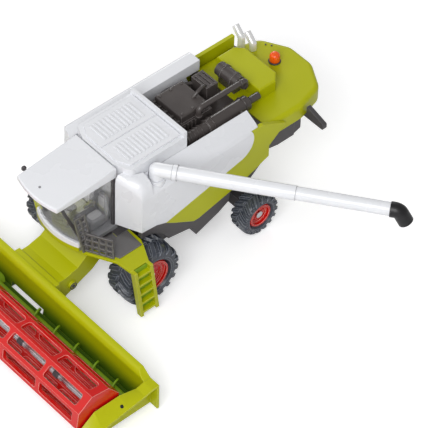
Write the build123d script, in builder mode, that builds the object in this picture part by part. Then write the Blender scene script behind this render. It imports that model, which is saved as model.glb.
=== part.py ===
"""Toy combine harvester: body, cab, engine, unloading tube, header with reel and auger, four wheels.

Millimetres. +X is forward, +Y is the machine's left, +Z is up. While it is drawn, X = 0 is the front
axle, Y = 0 the middle plane and Z = 0 the floor. At the end everything is moved so that the origin is
the middle of the finished toy's underside.
"""
import os
from math import cos, radians, sin

from build123d import *

os.makedirs("parts", exist_ok=True)

# Fits and clearances
RUNNING_GAP = 0.06
SEAT_GAP = 0.05
PANEL_GAP = 0.2
MOVE_GAP = 0.5

# Wheels and axles
WHEELBASE = 117.0
WHEEL_OUTER_Y = 65.0
FRONT_TYRE_RADIUS = 28.5
FRONT_TYRE_WIDTH = 27.0
FRONT_RIM_RADIUS = 16.4
FRONT_LUGS = 14
REAR_TYRE_RADIUS = 19.5
REAR_TYRE_WIDTH = 18.5
REAR_RIM_RADIUS = 11.3
REAR_LUGS = 12
LUG_HEIGHT = 1.4
LUG_THICKNESS = 3.0
LUG_SKEW = 7.0
BEAD_LIP = 2.0
RIM_WALL = 2.2
RIM_STEP = 1.6
DISC_THICKNESS = 4.0
HUB_RECESS = 4.5
HUB_RADIUS = 5.0
AXLE_RADIUS = 2.0
AXLE_HEAD_RADIUS = 3.2
AXLE_HEAD_LENGTH = 1.4

# Chassis and hitch
CORE_HALF = 33.0
CHASSIS_TOP = 60.0
CHASSIS_KEEL = 20.0
CHASSIS_TAIL = 27.5
TAIL_HEIGHT = 14.0
CHASSIS_SETBACK = 12.0
BOSS_RADIUS = 6.0
CARRIER_LENGTH = 14.0
CARRIER_DROP = 4.0
EAR_THICKNESS = 4.0
EAR_LIP = 5.0
HITCH_REACH = 16.0
HITCH_WIDTH = 9.0
HITCH_THICKNESS = 4.0
HITCH_BORE_RADIUS = 1.8
HITCH_EYE = 5.0

# Grain tank and its lid
TANK_FRONT = 4.0
TANK_REAR = -61.0
TANK_TOP = 126.0
TANK_FACE_HALF = 18.0
TANK_BEVEL = 6.0
TANK_ROUND = 5.0
RIM_TOP = 131.3
RIM_THICKNESS = 3.0
LID_INSET = 3.8
LID_THICKNESS = 1.4
LID_RIB_PITCH = 4.0
LID_RIB_WIDTH = 1.6
LID_RIB_HEIGHT = 0.7
LEAF_GAP = 1.0

# Body sides, engine bay and rear hood
BODY_HALF = 48.0
SIDE_WALL = 3.5
SKIRT_THICKNESS = 4.0
ARCH_GAP = 3.5
PANEL_FRONT = -1.3
STRIP_BOTTOM = 65.0
STRIP_RISE = 1.6
LEFT_SHOULDER_TOP = 114.0
LEFT_SHOULDER_EDGE = 106.0
RIGHT_SHOULDER_TOP = 116.0
SHOULDER_ROUND = 4.0
LEFT_WHITE_REAR = -125.0
RIGHT_WHITE_REAR = -133.0
RIGHT_WALL_REAR = -182.0
BAY_FLOOR = 94.0
BULKHEAD = 1.6
HOOD_FRONT = -138.0
HOOD_REAR = -217.0
HOOD_TOP = 95.0
HOOD_BOTTOM = 80.0
HOOD_NECK = 40.0
HOOD_NOSE_HALF = 13.0
HOOD_ROUND = 14.0
HOOD_EDGE_ROUND = 4.0
LIME_TAIL = 18.0
LIME_LEAD = 8.0
LIME_DROP = 4.0
VANES = 7
VANE_LENGTH = 8.0
CHOPPER_LENGTH = 32.0
VANE_THICKNESS = 1.6
DECK_BOX_LENGTH = 25.0
DECK_BOX_WIDTH = 52.0
DECK_BOX_HEIGHT = 12.0
DECK_BOX_CORNER = 7.0
DECK_BOX_SETBACK = 15.0
DECK_BOX_OFFSET = 8.0
BEACON_RADIUS = 4.5
BEACON_HEIGHT = 9.5
BEACON_FOOT = 1.5
BEACON_SETBACK = 23.0
LAMP_OVERHANG = 20.5
LAMP_THICKNESS = 4.0
LAMP_LIFT = 5.5
LAMP_SETBACK = 31.0
EXHAUST_RADIUS = 3.2
EXHAUST_HEIGHT = 21.0
EXHAUST_BEND = 8.0
EXHAUST_SHORT = 14.0
EXHAUST_APART = 7.0
EXHAUST_SETBACK = 34.0
ENGINE_HEIGHT = 20.0
ENGINE_LENGTH = 46.0
ENGINE_WIDTH = 37.0
ENGINE_SETBACK = 3.0
ENGINE_OFFSET = 10.5
ENGINE_RIBS = 5
COVER_HEIGHT = 7.0
COVER_LENGTH = 29.0
COVER_INSET = 2.0
RADIATOR_LENGTH = 12.0
RADIATOR_SETBACK = 6.5
RADIATOR_SHIFT = 4.7
RADIATOR_WIDTH = 19.0
CLEANER_RADIUS = 6.5
CLEANER_LENGTH = 44.0
CLEANER_INTAKE = 22.0
CLEANER_NECK = 13.0
CLEANER_FRONT = -95.0
CLEANER_Y = 18.0
MUFFLER_RADIUS = 7.0
MUFFLER_LIFT = 5.0
MUFFLER_LENGTH = 24.0
MUFFLER_BANDS = 2
PIPE_RADIUS = 2.5

# Cab, platform and ladder
CAB_HALF = 26.0
CAB_FLOOR = 64.0
CAB_REAR = 5.5
SILL_X = 46.0
SILL_TOP = 69.0
SILL_BOW = 6.0
SILL_THICKNESS = 3.0
SILL_LIP = 1.2
ROOF_UNDER = 117.0
ROOF_THICKNESS = 4.0
ROOF_RISE = 7.0
ROOF_FRONT = 66.0
ROOF_HALF = 24.5
ROOF_BOW = 4.0
ROOF_ROUND = 1.5
PILLAR = 2.6
GLASS = 0.8
SEAT_X = 21.0
SEAT_WIDTH = 17.0
SEAT_LENGTH = 18.0
SEAT_BASE = 8.0
SEAT_PAD = 5.0
SEAT_BACK = 19.0
COLUMN_HEIGHT = 18.0
WHEEL_RADIUS = 5.0
PLATE_TOP = 60.0
PLATE_THICKNESS = 2.4
PLATE_FRONT = 44.0
PLATE_CORNER_X = 30.0
PLATE_OUT = 54.0
PLATE_REAR = 2.0
MAT_THICKNESS = 0.8
RAIL_THICKNESS = 1.6
RAIL_HEIGHT = 21.0
RAIL_TALL = 44.0
RAIL_BAR = 1.8
RAIL_WIDTH = 11.5
RAIL_LEAN = 9.5
RAIL_SETBACK = 8.0
RAIL_COLUMNS = 4
RAIL_ROWS = 3
DOOR_ROWS = 6
LADDER_X = 2.0
LADDER_Y = 69.0
LADDER_WIDTH = 19.0
LADDER_DEPTH = 5.0
LADDER_RAIL = 3.0
LADDER_FOOT = 4.0
LADDER_LEAN = 7.5
LADDER_STEPS = 5
STEP_THICKNESS = 2.0

# Unloading tube
TUBE_X = -23.0
TUBE_INSET = 8.0
TUBE_Z = 119.0
TUBE_RADIUS = 6.0
TUBE_LENGTH = 187.0
TUBE_SWING = 53.5
TUBE_STEP = 0.4
TUBE_JOINT = 112.0
COLLAR_RADIUS = 6.6
COLLAR_LENGTH = 4.0
COLLAR_START = 13.0
TURRET_RADIUS = 7.0
TURRET_HEIGHT = 10.0
TURRET_TOP = 110.5
PIN_RADIUS = 2.5
PIN_ROOF = 2.0
SPOUT_WALL = 0.4
SPOUT_REACH = 10.0
SPOUT_DROP = 11.0
SPOUT_BEND = 6.0

# Feeder house and header
FEEDER_HALF = 23.5
FEEDER_PIVOT_X = 24.0
FEEDER_PIVOT_Z = 46.0
FEEDER_PIN_RADIUS = 1.5
FEEDER_BOSS_RADIUS = 4.0
FEEDER_BOSS_HEIGHT = 2.0
FEEDER_BOSS_SETBACK = 14.0
ADAPTER_THICKNESS = 5.4
HEADER_HALF = 153.0
END_PLATE = 10.5
END_WALL = 2.0
END_TOP = 30.0
END_DIP_X = 85.3
END_DIP = 28.0
END_CREST_X = 102.2
END_BROW_X = 128.0
END_CREST = 33.0
END_TIP = 9.0
CREST_FALL = 7.5
BROW_FALL = 12.0
HEADER_BACK_X = 70.7
HEADER_TOP = 36.5
HEADER_FLOOR = 3.0
WALL_THICKNESS = 7.0
WALL_FOOT = 9.0
WALL_SLANT = 8.8
WALL_ROUND = 6.0
WALL_HOLLOW = 0.5
FLOOR_THICKNESS = 2.0
KNIFE_X = 122.0
KNIFE_PITCH = 7.0
KNIFE_LENGTH = 4.0
DIVIDER_X = 160.0
MOUTH_HALF = 20.0
MOUTH_TOP = 9.0
AUGER_X = 93.0
AUGER_Z = 15.4
AUGER_RADIUS = 9.3
AUGER_CORE = 4.0
AUGER_PITCH = 24.0
AUGER_TURN = 157.0
FLIGHT_THICKNESS = 1.6
REEL_X = 123.0
REEL_Z = 28.5
REEL_RADIUS = 22.2
REEL_TURN = 8.0
REEL_WALL = 4.0
REEL_BAYS = 3
REEL_BAY = 44.2
REEL_MIDDLE = 6.8
REEL_BAR = 4.5
REEL_SLAT = 3.4
WINDOW_ROUND = 2.0
REEL_AXLE_RADIUS = 2.0
AUGER_AXLE_RADIUS = 1.5
END_GAP = 1.5

TUBE_Y = BODY_HALF - TUBE_INSET

SIDES = (("left", 1), ("right", -1))
pieces = []


def keep(builder, label):
    """Name a finished piece and put it on the list of pieces to write."""
    builder.part.label = label
    pieces.append(builder.part)


def outline(points):
    """A flat face with straight sides through the points, in the sketch that is open."""
    Polygon(*points, align=None)


def side_plane(side, y):
    """A plane along the machine at a distance from its middle; sketches there are drawn in X and Z."""
    return Plane((0, side * y, 0), x_dir=(1, 0, 0), z_dir=(0, -1, 0))


def tyre(radius, width, rim_radius, lugs):
    """A tyre about the Z axis: a round carcass with two rows of slanting lugs that meet in chevrons."""
    half = width / 2
    crown = radius - LUG_HEIGHT
    shoulder = crown - 0.12 * width
    bead = 0.36 * width
    tread = 0.28 * width
    root = shoulder - BEAD_LIP
    with BuildPart() as lug:
        with BuildSketch(Plane.YZ.offset(root)):
            outline([
                (-(LUG_SKEW + LUG_THICKNESS) / 2, PANEL_GAP),
                ((LUG_THICKNESS - LUG_SKEW) / 2, PANEL_GAP),
                ((LUG_SKEW + LUG_THICKNESS) / 2, half),
                ((LUG_SKEW - LUG_THICKNESS) / 2, half),
            ])
        extrude(amount=radius - root)
        outer_edge = lug.edges().filter_by(Axis.Y).sort_by(Axis.Z)[-2:].sort_by(Axis.X)[-1]
        chamfer(outer_edge, LUG_HEIGHT * 0.9)
    with BuildPart() as body:
        with BuildSketch(Plane.XZ):
            outline([
                (rim_radius + SEAT_GAP, -bead),
                (rim_radius + BEAD_LIP, -half),
                (shoulder - 1, -half),
                (crown, -tread),
                (crown, tread),
                (shoulder - 1, half),
                (rim_radius + BEAD_LIP, half),
                (rim_radius + SEAT_GAP, bead),
            ])
        revolve(axis=Axis.Z)
        with PolarLocations(0, lugs):
            add(lug.part)
        with PolarLocations(0, lugs, start_angle=180 / lugs):
            add(mirror(lug.part, about=Plane.XY, mode=Mode.PRIVATE))
        Cylinder(radius, width, mode=Mode.INTERSECT)
    return body.part


def rim(radius, width):
    """A wheel rim about the Z axis with stepped rings on its outer side and a bored hub."""
    half = width / 2
    face = half - HUB_RECESS
    seat = 0.36 * width
    bore = AXLE_RADIUS + RUNNING_GAP
    with BuildPart() as body:
        with BuildSketch(Plane.XZ):
            outline([
                (bore, -half),
                (HUB_RADIUS, -half),
                (HUB_RADIUS, face - DISC_THICKNESS),
                (radius - RIM_WALL, face - DISC_THICKNESS),
                (radius - RIM_WALL, -seat),
                (radius, -seat),
                (radius, seat),
                (radius - RIM_WALL / 3, half - 1),
                (radius - RIM_WALL, half - 1),
                (radius - RIM_WALL, face + RIM_STEP / 2),
                (radius * 0.68, face + RIM_STEP / 2),
                (radius * 0.68, face - RIM_STEP / 2),
                (radius * 0.5, face - RIM_STEP / 2),
                (radius * 0.5, face),
                (bore, face),
            ])
        revolve(axis=Axis.Z)
    return body.part


def on_wheel(x, z, width, side):
    """Where a wheel's own Z axis lies across the machine; side is 1 for left and -1 for right."""
    return Location((x, side * (WHEEL_OUTER_Y - width / 2), z), (-90 * side, 0, 0))


FRONT_TYRE = tyre(FRONT_TYRE_RADIUS, FRONT_TYRE_WIDTH, FRONT_RIM_RADIUS, FRONT_LUGS)
REAR_TYRE = tyre(REAR_TYRE_RADIUS, REAR_TYRE_WIDTH, REAR_RIM_RADIUS, REAR_LUGS)
FRONT_RIM = rim(FRONT_RIM_RADIUS, FRONT_TYRE_WIDTH)
REAR_RIM = rim(REAR_RIM_RADIUS, REAR_TYRE_WIDTH)
WHEELS = {
    "front": (FRONT_TYRE, FRONT_RIM, 0.0, FRONT_TYRE_RADIUS, FRONT_TYRE_WIDTH),
    "rear": (REAR_TYRE, REAR_RIM, -WHEELBASE, REAR_TYRE_RADIUS, REAR_TYRE_WIDTH),
}

# Wheels: a tyre and a rim on each corner, and a steel rod with a head outside each hub
HUB_FACE_Y = WHEEL_OUTER_Y - HUB_RECESS
for axle, (tyre_solid, rim_solid, wheel_x, wheel_z, wheel_width) in WHEELS.items():
    for side_name, side in SIDES:
        with BuildPart() as wheel_tyre:
            with Locations(on_wheel(wheel_x, wheel_z, wheel_width, side)):
                add(tyre_solid)
        keep(wheel_tyre, f"{axle}_{side_name}_tyre")
        with BuildPart() as wheel_rim:
            with Locations(on_wheel(wheel_x, wheel_z, wheel_width, side)):
                add(rim_solid)
        keep(wheel_rim, f"{axle}_{side_name}_rim")
    with BuildPart() as rod:
        with BuildSketch(Plane.XZ):
            with Locations((wheel_x, wheel_z)):
                Circle(AXLE_RADIUS)
        extrude(amount=HUB_FACE_Y + MOVE_GAP + AXLE_HEAD_LENGTH, both=True)
        for side_name, side in SIDES:
            with BuildSketch(side_plane(side, HUB_FACE_Y + MOVE_GAP)):
                with Locations((wheel_x, wheel_z)):
                    Circle(AXLE_HEAD_RADIUS)
            extrude(amount=-side * AXLE_HEAD_LENGTH)
    keep(rod, f"{axle}_axle")

# Chassis: a deep beam between the wheels, the carriers of the axles and the ears of the feeder house
FRONT_HUB_Y = WHEEL_OUTER_Y - FRONT_TYRE_WIDTH
REAR_HUB_Y = WHEEL_OUTER_Y - REAR_TYRE_WIDTH
EAR_Y = FEEDER_HALF + MOVE_GAP
CHASSIS_FRONT = FEEDER_PIVOT_X - CHASSIS_SETBACK
CHASSIS_REAR = HOOD_FRONT - TAIL_HEIGHT
with BuildPart() as chassis_frame:
    with BuildSketch(Plane.XZ):
        outline([
            (CHASSIS_FRONT, CHASSIS_TOP),
            (CHASSIS_REAR, CHASSIS_TOP),
            (CHASSIS_REAR, CHASSIS_TOP - TAIL_HEIGHT),
            (-WHEELBASE - CARRIER_LENGTH, CHASSIS_TAIL),
            (-WHEELBASE + CARRIER_LENGTH, CHASSIS_TAIL),
            (-FRONT_TYRE_RADIUS, CHASSIS_KEEL),
            (CHASSIS_FRONT - EAR_THICKNESS, CHASSIS_KEEL),
            (CHASSIS_FRONT, FRONT_TYRE_RADIUS + BOSS_RADIUS),
        ])
        with Locations((0, FRONT_TYRE_RADIUS)):
            Circle(AXLE_RADIUS + SEAT_GAP, mode=Mode.SUBTRACT)
    extrude(amount=CORE_HALF, both=True)
keep(chassis_frame, "chassis_frame")

with BuildPart() as axle_carriers:
    for side_name, side in SIDES:
        with BuildSketch(side_plane(side, CORE_HALF)):
            with Locations((0, FRONT_TYRE_RADIUS)):
                Circle(BOSS_RADIUS)
                Circle(AXLE_RADIUS + SEAT_GAP, mode=Mode.SUBTRACT)
        extrude(amount=-side * (FRONT_HUB_Y - MOVE_GAP - CORE_HALF))
    with BuildSketch(Plane.XZ):
        with Locations((-WHEELBASE, CHASSIS_TAIL)):
            carrier_height = CHASSIS_TAIL - REAR_TYRE_RADIUS + CARRIER_DROP
            Rectangle(CARRIER_LENGTH, carrier_height, align=(Align.CENTER, Align.MAX))
        with Locations((-WHEELBASE, REAR_TYRE_RADIUS)):
            Circle(AXLE_RADIUS + SEAT_GAP, mode=Mode.SUBTRACT)
    extrude(amount=REAR_HUB_Y - MOVE_GAP, both=True)
keep(axle_carriers, "axle_carriers")

with BuildPart() as feeder_ears:
    for side_name, side in SIDES:
        with BuildSketch(side_plane(side, EAR_Y)):
            outline([
                (CHASSIS_FRONT, CHASSIS_TOP - PLATE_THICKNESS),
                (FEEDER_PIVOT_X + EAR_LIP, CHASSIS_TOP - PLATE_THICKNESS),
                (FEEDER_PIVOT_X + EAR_LIP, FEEDER_PIVOT_Z - EAR_LIP),
                (CHASSIS_FRONT, FEEDER_PIVOT_Z - 2 * EAR_LIP),
            ])
            with Locations((FEEDER_PIVOT_X, FEEDER_PIVOT_Z)):
                Circle(FEEDER_PIN_RADIUS + SEAT_GAP, mode=Mode.SUBTRACT)
        extrude(amount=-side * EAR_THICKNESS)
keep(feeder_ears, "feeder_ears")

with BuildPart() as feeder_pin:
    with BuildSketch(Plane.XZ):
        with Locations((FEEDER_PIVOT_X, FEEDER_PIVOT_Z)):
            Circle(FEEDER_PIN_RADIUS)
    extrude(amount=EAR_Y + EAR_THICKNESS + MOVE_GAP, both=True)
keep(feeder_pin, "feeder_pin")

# Tow hitch: a tongue with a vertical bore under the rear end
HITCH_Z = CHASSIS_TOP - TAIL_HEIGHT + HITCH_THICKNESS / 2
with BuildPart() as tow_hitch:
    with BuildSketch(Plane.XY.offset(HITCH_Z)) as tongue:
        with Locations((CHASSIS_REAR, 0)):
            Rectangle(HITCH_REACH, HITCH_WIDTH, align=(Align.MAX, Align.CENTER))
        fillet(tongue.vertices().sort_by(Axis.X)[:2], HITCH_WIDTH / 3)
        with Locations((CHASSIS_REAR - HITCH_REACH + HITCH_EYE, 0)):
            Circle(HITCH_BORE_RADIUS, mode=Mode.SUBTRACT)
    extrude(amount=HITCH_THICKNESS)
keep(tow_hitch, "tow_hitch")

# Grain tank: a white tower with bevelled front corners and a raised rear rim
with BuildPart() as tank_body:
    with BuildSketch(Plane.XY.offset(CHASSIS_TOP)) as tank_plan:
        outline([
            (TANK_FRONT, -TANK_FACE_HALF),
            (TANK_FRONT, TANK_FACE_HALF),
            (TANK_FRONT - TANK_BEVEL, CORE_HALF),
            (TANK_REAR, CORE_HALF),
            (TANK_REAR, -CORE_HALF),
            (TANK_FRONT - TANK_BEVEL, -CORE_HALF),
        ])
        fillet(tank_plan.vertices().sort_by(Axis.X)[2:], TANK_ROUND)
    extrude(amount=TANK_TOP - CHASSIS_TOP)
    with BuildSketch(Plane.XY.offset(TANK_TOP)):
        with Locations((TANK_REAR, 0)):
            Rectangle(RIM_THICKNESS, 2 * CORE_HALF, align=(Align.MIN, Align.CENTER))
    extrude(amount=RIM_TOP - TANK_TOP)
keep(tank_body, "tank_body")

# Tank lid: two leaves with a groove between them and ribs across each
LID_FRONT = TANK_FRONT - LID_INSET
LID_REAR = TANK_REAR + RIM_THICKNESS + MOVE_GAP
LID_HALF = CORE_HALF - LID_INSET
LID_MIDDLE = (LID_FRONT + LID_REAR) / 2
with BuildPart() as tank_lid:
    with BuildSketch(Plane.XY.offset(TANK_TOP)) as lid_plan:
        outline([
            (LID_FRONT, -TANK_FACE_HALF),
            (LID_FRONT, TANK_FACE_HALF),
            (LID_FRONT - TANK_BEVEL, LID_HALF),
            (LID_REAR, LID_HALF),
            (LID_REAR, -LID_HALF),
            (LID_FRONT - TANK_BEVEL, -LID_HALF),
        ])
        fillet(lid_plan.vertices().sort_by(Axis.X)[2:], TANK_ROUND / 2)
    extrude(amount=LID_THICKNESS)
    with BuildSketch(Plane.XY.offset(TANK_TOP + LID_THICKNESS)):
        with Locations((LID_MIDDLE, 0)):
            Rectangle(LID_FRONT - LID_REAR, LEAF_GAP)
    extrude(amount=-LID_THICKNESS / 2, mode=Mode.SUBTRACT)
    with BuildSketch(Plane.XY.offset(TANK_TOP + LID_THICKNESS)):
        with Locations((LID_MIDDLE, 0)):
            with GridLocations(LID_RIB_PITCH, LID_HALF, int((LID_FRONT - LID_REAR) / LID_RIB_PITCH) - 3, 2):
                Rectangle(LID_RIB_WIDTH, LID_HALF - 2 * TANK_ROUND)
    extrude(amount=LID_RIB_HEIGHT)
keep(tank_lid, "tank_lid")

# Engine bay: the floor between the shoulders, and a thin bulkhead behind the left shoulder
HOOD_HALF = BODY_HALF - SIDE_WALL
PANEL_IN = CORE_HALF + PANEL_GAP
with BuildPart() as bay_floor:
    with BuildSketch(Plane.XY.offset(CHASSIS_TOP)):
        outline([
            (TANK_REAR - PANEL_GAP, CORE_HALF),
            (LEFT_WHITE_REAR - PANEL_GAP, CORE_HALF),
            (LEFT_WHITE_REAR - PANEL_GAP, HOOD_HALF),
            (HOOD_FRONT, HOOD_HALF),
            (HOOD_FRONT, -HOOD_HALF),
            (RIGHT_WHITE_REAR - PANEL_GAP, -HOOD_HALF),
            (RIGHT_WHITE_REAR - PANEL_GAP, -CORE_HALF),
            (TANK_REAR - PANEL_GAP, -CORE_HALF),
        ])
    extrude(amount=BAY_FLOOR - CHASSIS_TOP)
    with BuildSketch(Plane.XY.offset(BAY_FLOOR)):
        with Locations((LEFT_WHITE_REAR - PANEL_GAP, HOOD_HALF)):
            Rectangle(BULKHEAD, HOOD_HALF - CLEANER_Y - CLEANER_RADIUS - 1, align=(Align.MAX, Align.MAX))
    extrude(amount=LEFT_SHOULDER_EDGE - BAY_FLOOR)
keep(bay_floor, "bay_floor")

# Side panels: white above a rising seam, lime below it, and a dark skirt with a wheel arch
SWEEP_LOW = (-27.0, 61.0)
SWEEP_HIGH = (-107.0, 79.0)
SWEEP_TOP = (-118.0, 105.0)
LIME_EDGE = [(-138.0, 64.0), (-116.0, 55.0), (-96.0, 50.0), (-63.0, 42.0), (-57.0, 42.0), (-37.0, 54.0)]
STRIP = [(PANEL_FRONT, STRIP_BOTTOM + STRIP_RISE), (-17.0, STRIP_BOTTOM)]
BOX_EDGE = [(-95.0, 40.0), (-84.0, 33.5), (-60.0, 24.0), (-54.0, 36.0), (-33.0, 40.0)]
APRON_X = CAB_REAR + SILL_THICKNESS
APRON_IN = CAB_HALF + MOVE_GAP


def sweep_line(gap=0.0):
    """The seam between white and lime: a long rise that turns up at its rear end."""
    low = (SWEEP_LOW[0], SWEEP_LOW[1] - gap)
    high = (SWEEP_HIGH[0], SWEEP_HIGH[1] - gap)
    Line(low, high)
    TangentArc(high, (SWEEP_TOP[0] - gap, SWEEP_TOP[1]), tangent=(high[0] - low[0], high[1] - low[1]))


def arch_point(angle):
    """A point of the wheel arch at an angle above the horizontal, behind the front axle."""
    reach = FRONT_TYRE_RADIUS + ARCH_GAP
    return (-reach * cos(radians(angle)), FRONT_TYRE_RADIUS + reach * sin(radians(angle)))


for side_name, side in SIDES:
    shoulder_top, shoulder_edge, white_rear = {
        1: (LEFT_SHOULDER_TOP, LEFT_SHOULDER_EDGE, LEFT_WHITE_REAR),
        -1: (RIGHT_SHOULDER_TOP, RIGHT_SHOULDER_TOP, RIGHT_WHITE_REAR),
    }[side]
    with BuildPart() as white_panel:
        with BuildSketch(side_plane(side, PANEL_IN)):
            with BuildLine():
                sweep_line()
                Polyline(
                    SWEEP_TOP, (white_rear, SWEEP_TOP[1]),
                    (white_rear, shoulder_top), (APRON_X, shoulder_top),
                    (APRON_X, STRIP[0][1]), *STRIP, SWEEP_LOW,
                )
            make_face()
        extrude(amount=-side * (BODY_HALF - PANEL_IN))
        with BuildSketch(Plane.XY.offset(STRIP[0][1])):
            outline([
                (APRON_X, side * PANEL_IN),
                (APRON_X, side * APRON_IN),
                (TANK_FRONT + PANEL_GAP, side * APRON_IN),
                (TANK_FRONT - TANK_BEVEL + SILL_THICKNESS, side * CORE_HALF),
                (TANK_FRONT - TANK_BEVEL + SILL_THICKNESS, side * PANEL_IN),
            ])
        extrude(amount=shoulder_top - STRIP[0][1])
        with BuildSketch(Plane.XY.offset(SWEEP_LOW[1])):
            outline([
                (APRON_X, side * APRON_IN),
                (APRON_X, side * (BODY_HALF + 1)),
                (PANEL_FRONT, side * (BODY_HALF + 1)),
                (PANEL_FRONT, side * BODY_HALF),
            ])
        extrude(amount=shoulder_top - SWEEP_LOW[1], mode=Mode.SUBTRACT)
        crest = BODY_HALF - SHOULDER_ROUND
        crest_z = shoulder_top - (shoulder_top - shoulder_edge) * (crest - PANEL_IN) / (BODY_HALF - PANEL_IN)
        with BuildSketch(Plane.YZ.offset(white_rear)):
            with BuildLine():
                Line((side * PANEL_IN, shoulder_top), (side * crest, crest_z))
                TangentArc(
                    (side * crest, crest_z), (side * BODY_HALF, shoulder_edge - SHOULDER_ROUND),
                    tangent=(side * (crest - PANEL_IN), crest_z - shoulder_top),
                )
                Polyline(
                    (side * BODY_HALF, shoulder_edge - SHOULDER_ROUND),
                    (side * (BODY_HALF + 1), shoulder_edge),
                    (side * (BODY_HALF + 1), shoulder_top + 1), (side * PANEL_IN, shoulder_top + 1),
                    (side * PANEL_IN, shoulder_top),
                )
            make_face()
        extrude(amount=APRON_X - white_rear, mode=Mode.SUBTRACT)
        if side > 0:
            with BuildSketch(Plane.XY.offset(TURRET_TOP - TURRET_HEIGHT)):
                with Locations((TUBE_X, TUBE_Y)):
                    Circle(TURRET_RADIUS + SEAT_GAP)
            extrude(amount=LEFT_SHOULDER_TOP - TURRET_TOP + TURRET_HEIGHT, mode=Mode.SUBTRACT)
    keep(white_panel, f"{side_name}_side_panel")

    lime_rear = HOOD_FRONT - LIME_TAIL if side > 0 else RIGHT_WALL_REAR
    lime_top_rear = HOOD_FRONT + LIME_LEAD if side > 0 else RIGHT_WALL_REAR
    with BuildPart() as lime_panel:
        with BuildSketch(side_plane(side, HOOD_HALF + PANEL_GAP)):
            with BuildLine():
                sweep_line(PANEL_GAP)
                Polyline(
                    (SWEEP_TOP[0] - PANEL_GAP, SWEEP_TOP[1]), (lime_top_rear, SWEEP_TOP[1]),
                    (lime_rear, HOOD_TOP - LIME_DROP), (HOOD_FRONT, HOOD_BOTTOM - LIME_DROP), *LIME_EDGE,
                    (SWEEP_LOW[0], SWEEP_LOW[1] - PANEL_GAP),
                )
            make_face()
        extrude(amount=-side * (SIDE_WALL - PANEL_GAP))
    keep(lime_panel, f"{side_name}_lower_panel")

    with BuildPart() as skirt:
        with BuildSketch(side_plane(side, BODY_HALF - SKIRT_THICKNESS)):
            with BuildLine():
                Polyline(
                    arch_point(88),
                    *[(x, z - PANEL_GAP) for x, z in STRIP + [SWEEP_LOW] + LIME_EDGE[:1:-1]],
                    *BOX_EDGE,
                    arch_point(22),
                )
                ThreePointArc(arch_point(22), arch_point(55), arch_point(88))
            make_face()
        extrude(amount=-side * SKIRT_THICKNESS)
    keep(skirt, f"{side_name}_skirt")

# Tool boxes between the skirts and the chassis
with BuildPart() as tool_boxes:
    for side_name, side in SIDES:
        with BuildSketch(side_plane(side, PANEL_IN)):
            outline([
                BOX_EDGE[1],
                BOX_EDGE[2],
                (BOX_EDGE[2][0], LIME_EDGE[3][1]),
                (BOX_EDGE[1][0], LIME_EDGE[3][1]),
            ])
        extrude(amount=-side * (BODY_HALF - SKIRT_THICKNESS - PANEL_IN))
keep(tool_boxes, "tool_boxes")

# Rear hood: a rounded deck over the straw outlet
with BuildPart() as rear_hood:
    with BuildSketch(Plane.XY.offset(HOOD_BOTTOM)) as hood_plan:
        outline([
            (HOOD_FRONT - PANEL_GAP, HOOD_HALF),
            (HOOD_REAR + HOOD_NECK, HOOD_HALF),
            (HOOD_REAR + HOOD_ROUND, HOOD_HALF - HOOD_ROUND / 2),
            (HOOD_REAR, HOOD_NOSE_HALF),
            (HOOD_REAR, -HOOD_NOSE_HALF),
            (HOOD_REAR + HOOD_ROUND, HOOD_ROUND / 2 - HOOD_HALF),
            (HOOD_REAR + HOOD_NECK, -HOOD_HALF),
            (HOOD_FRONT - PANEL_GAP, -HOOD_HALF),
        ])
        fillet(hood_plan.vertices().sort_by(Axis.X)[:6], HOOD_ROUND)
    extrude(amount=HOOD_TOP - HOOD_BOTTOM)
    fillet(rear_hood.faces().sort_by(Axis.Z)[-1].edges().sort_by(Axis.X)[:-1], HOOD_EDGE_ROUND)
keep(rear_hood, "rear_hood")

# Straw chopper under the hood, with upright vanes behind its outlet
CHOPPER_HALF = HOOD_HALF - 1
CHOPPER_REAR = HOOD_FRONT - CHOPPER_LENGTH
CHOPPER_LIP = CHASSIS_TOP + TAIL_HEIGHT / 2
with BuildPart() as straw_chopper:
    with BuildSketch(Plane.XZ):
        outline([
            (HOOD_FRONT - PANEL_GAP, HOOD_BOTTOM),
            (HOOD_FRONT - PANEL_GAP, CHOPPER_LIP),
            (CHASSIS_REAR - PANEL_GAP, CHASSIS_TOP + EAR_THICKNESS),
            (CHOPPER_REAR, CHASSIS_TOP + EAR_THICKNESS),
            (CHOPPER_REAR, HOOD_BOTTOM),
        ])
    extrude(amount=CHOPPER_HALF, both=True)
    for vane in range(VANES):
        vane_y = (2 * vane / (VANES - 1) - 1) * (CHOPPER_HALF - VANE_THICKNESS)
        with BuildSketch(side_plane(1, vane_y)):
            outline([
                (CHOPPER_REAR, HOOD_BOTTOM),
                (CHOPPER_REAR, CHASSIS_TOP + EAR_THICKNESS),
                (CHOPPER_REAR - VANE_LENGTH, CHOPPER_LIP),
                (CHOPPER_REAR - VANE_LENGTH, HOOD_BOTTOM),
            ])
        extrude(amount=VANE_THICKNESS / 2, both=True)
keep(straw_chopper, "straw_chopper")

# On the deck: a box, the beacon behind it and two bright exhaust pipes
DECK_BOX_FRONT = HOOD_FRONT - DECK_BOX_SETBACK
DECK_BOX_Y = -DECK_BOX_OFFSET
with BuildPart() as hood_box:
    with BuildSketch(Plane.XY.offset(HOOD_TOP)) as deck_box_plan:
        with Locations((DECK_BOX_FRONT, DECK_BOX_Y)):
            Rectangle(DECK_BOX_LENGTH, DECK_BOX_WIDTH, align=(Align.MAX, Align.CENTER))
        chamfer(deck_box_plan.vertices().sort_by(Axis.X)[:2], DECK_BOX_CORNER)
    extrude(amount=DECK_BOX_HEIGHT)
    fillet(hood_box.faces().sort_by(Axis.Z)[-1].edges(), ROOF_ROUND)
keep(hood_box, "hood_box")

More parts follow.
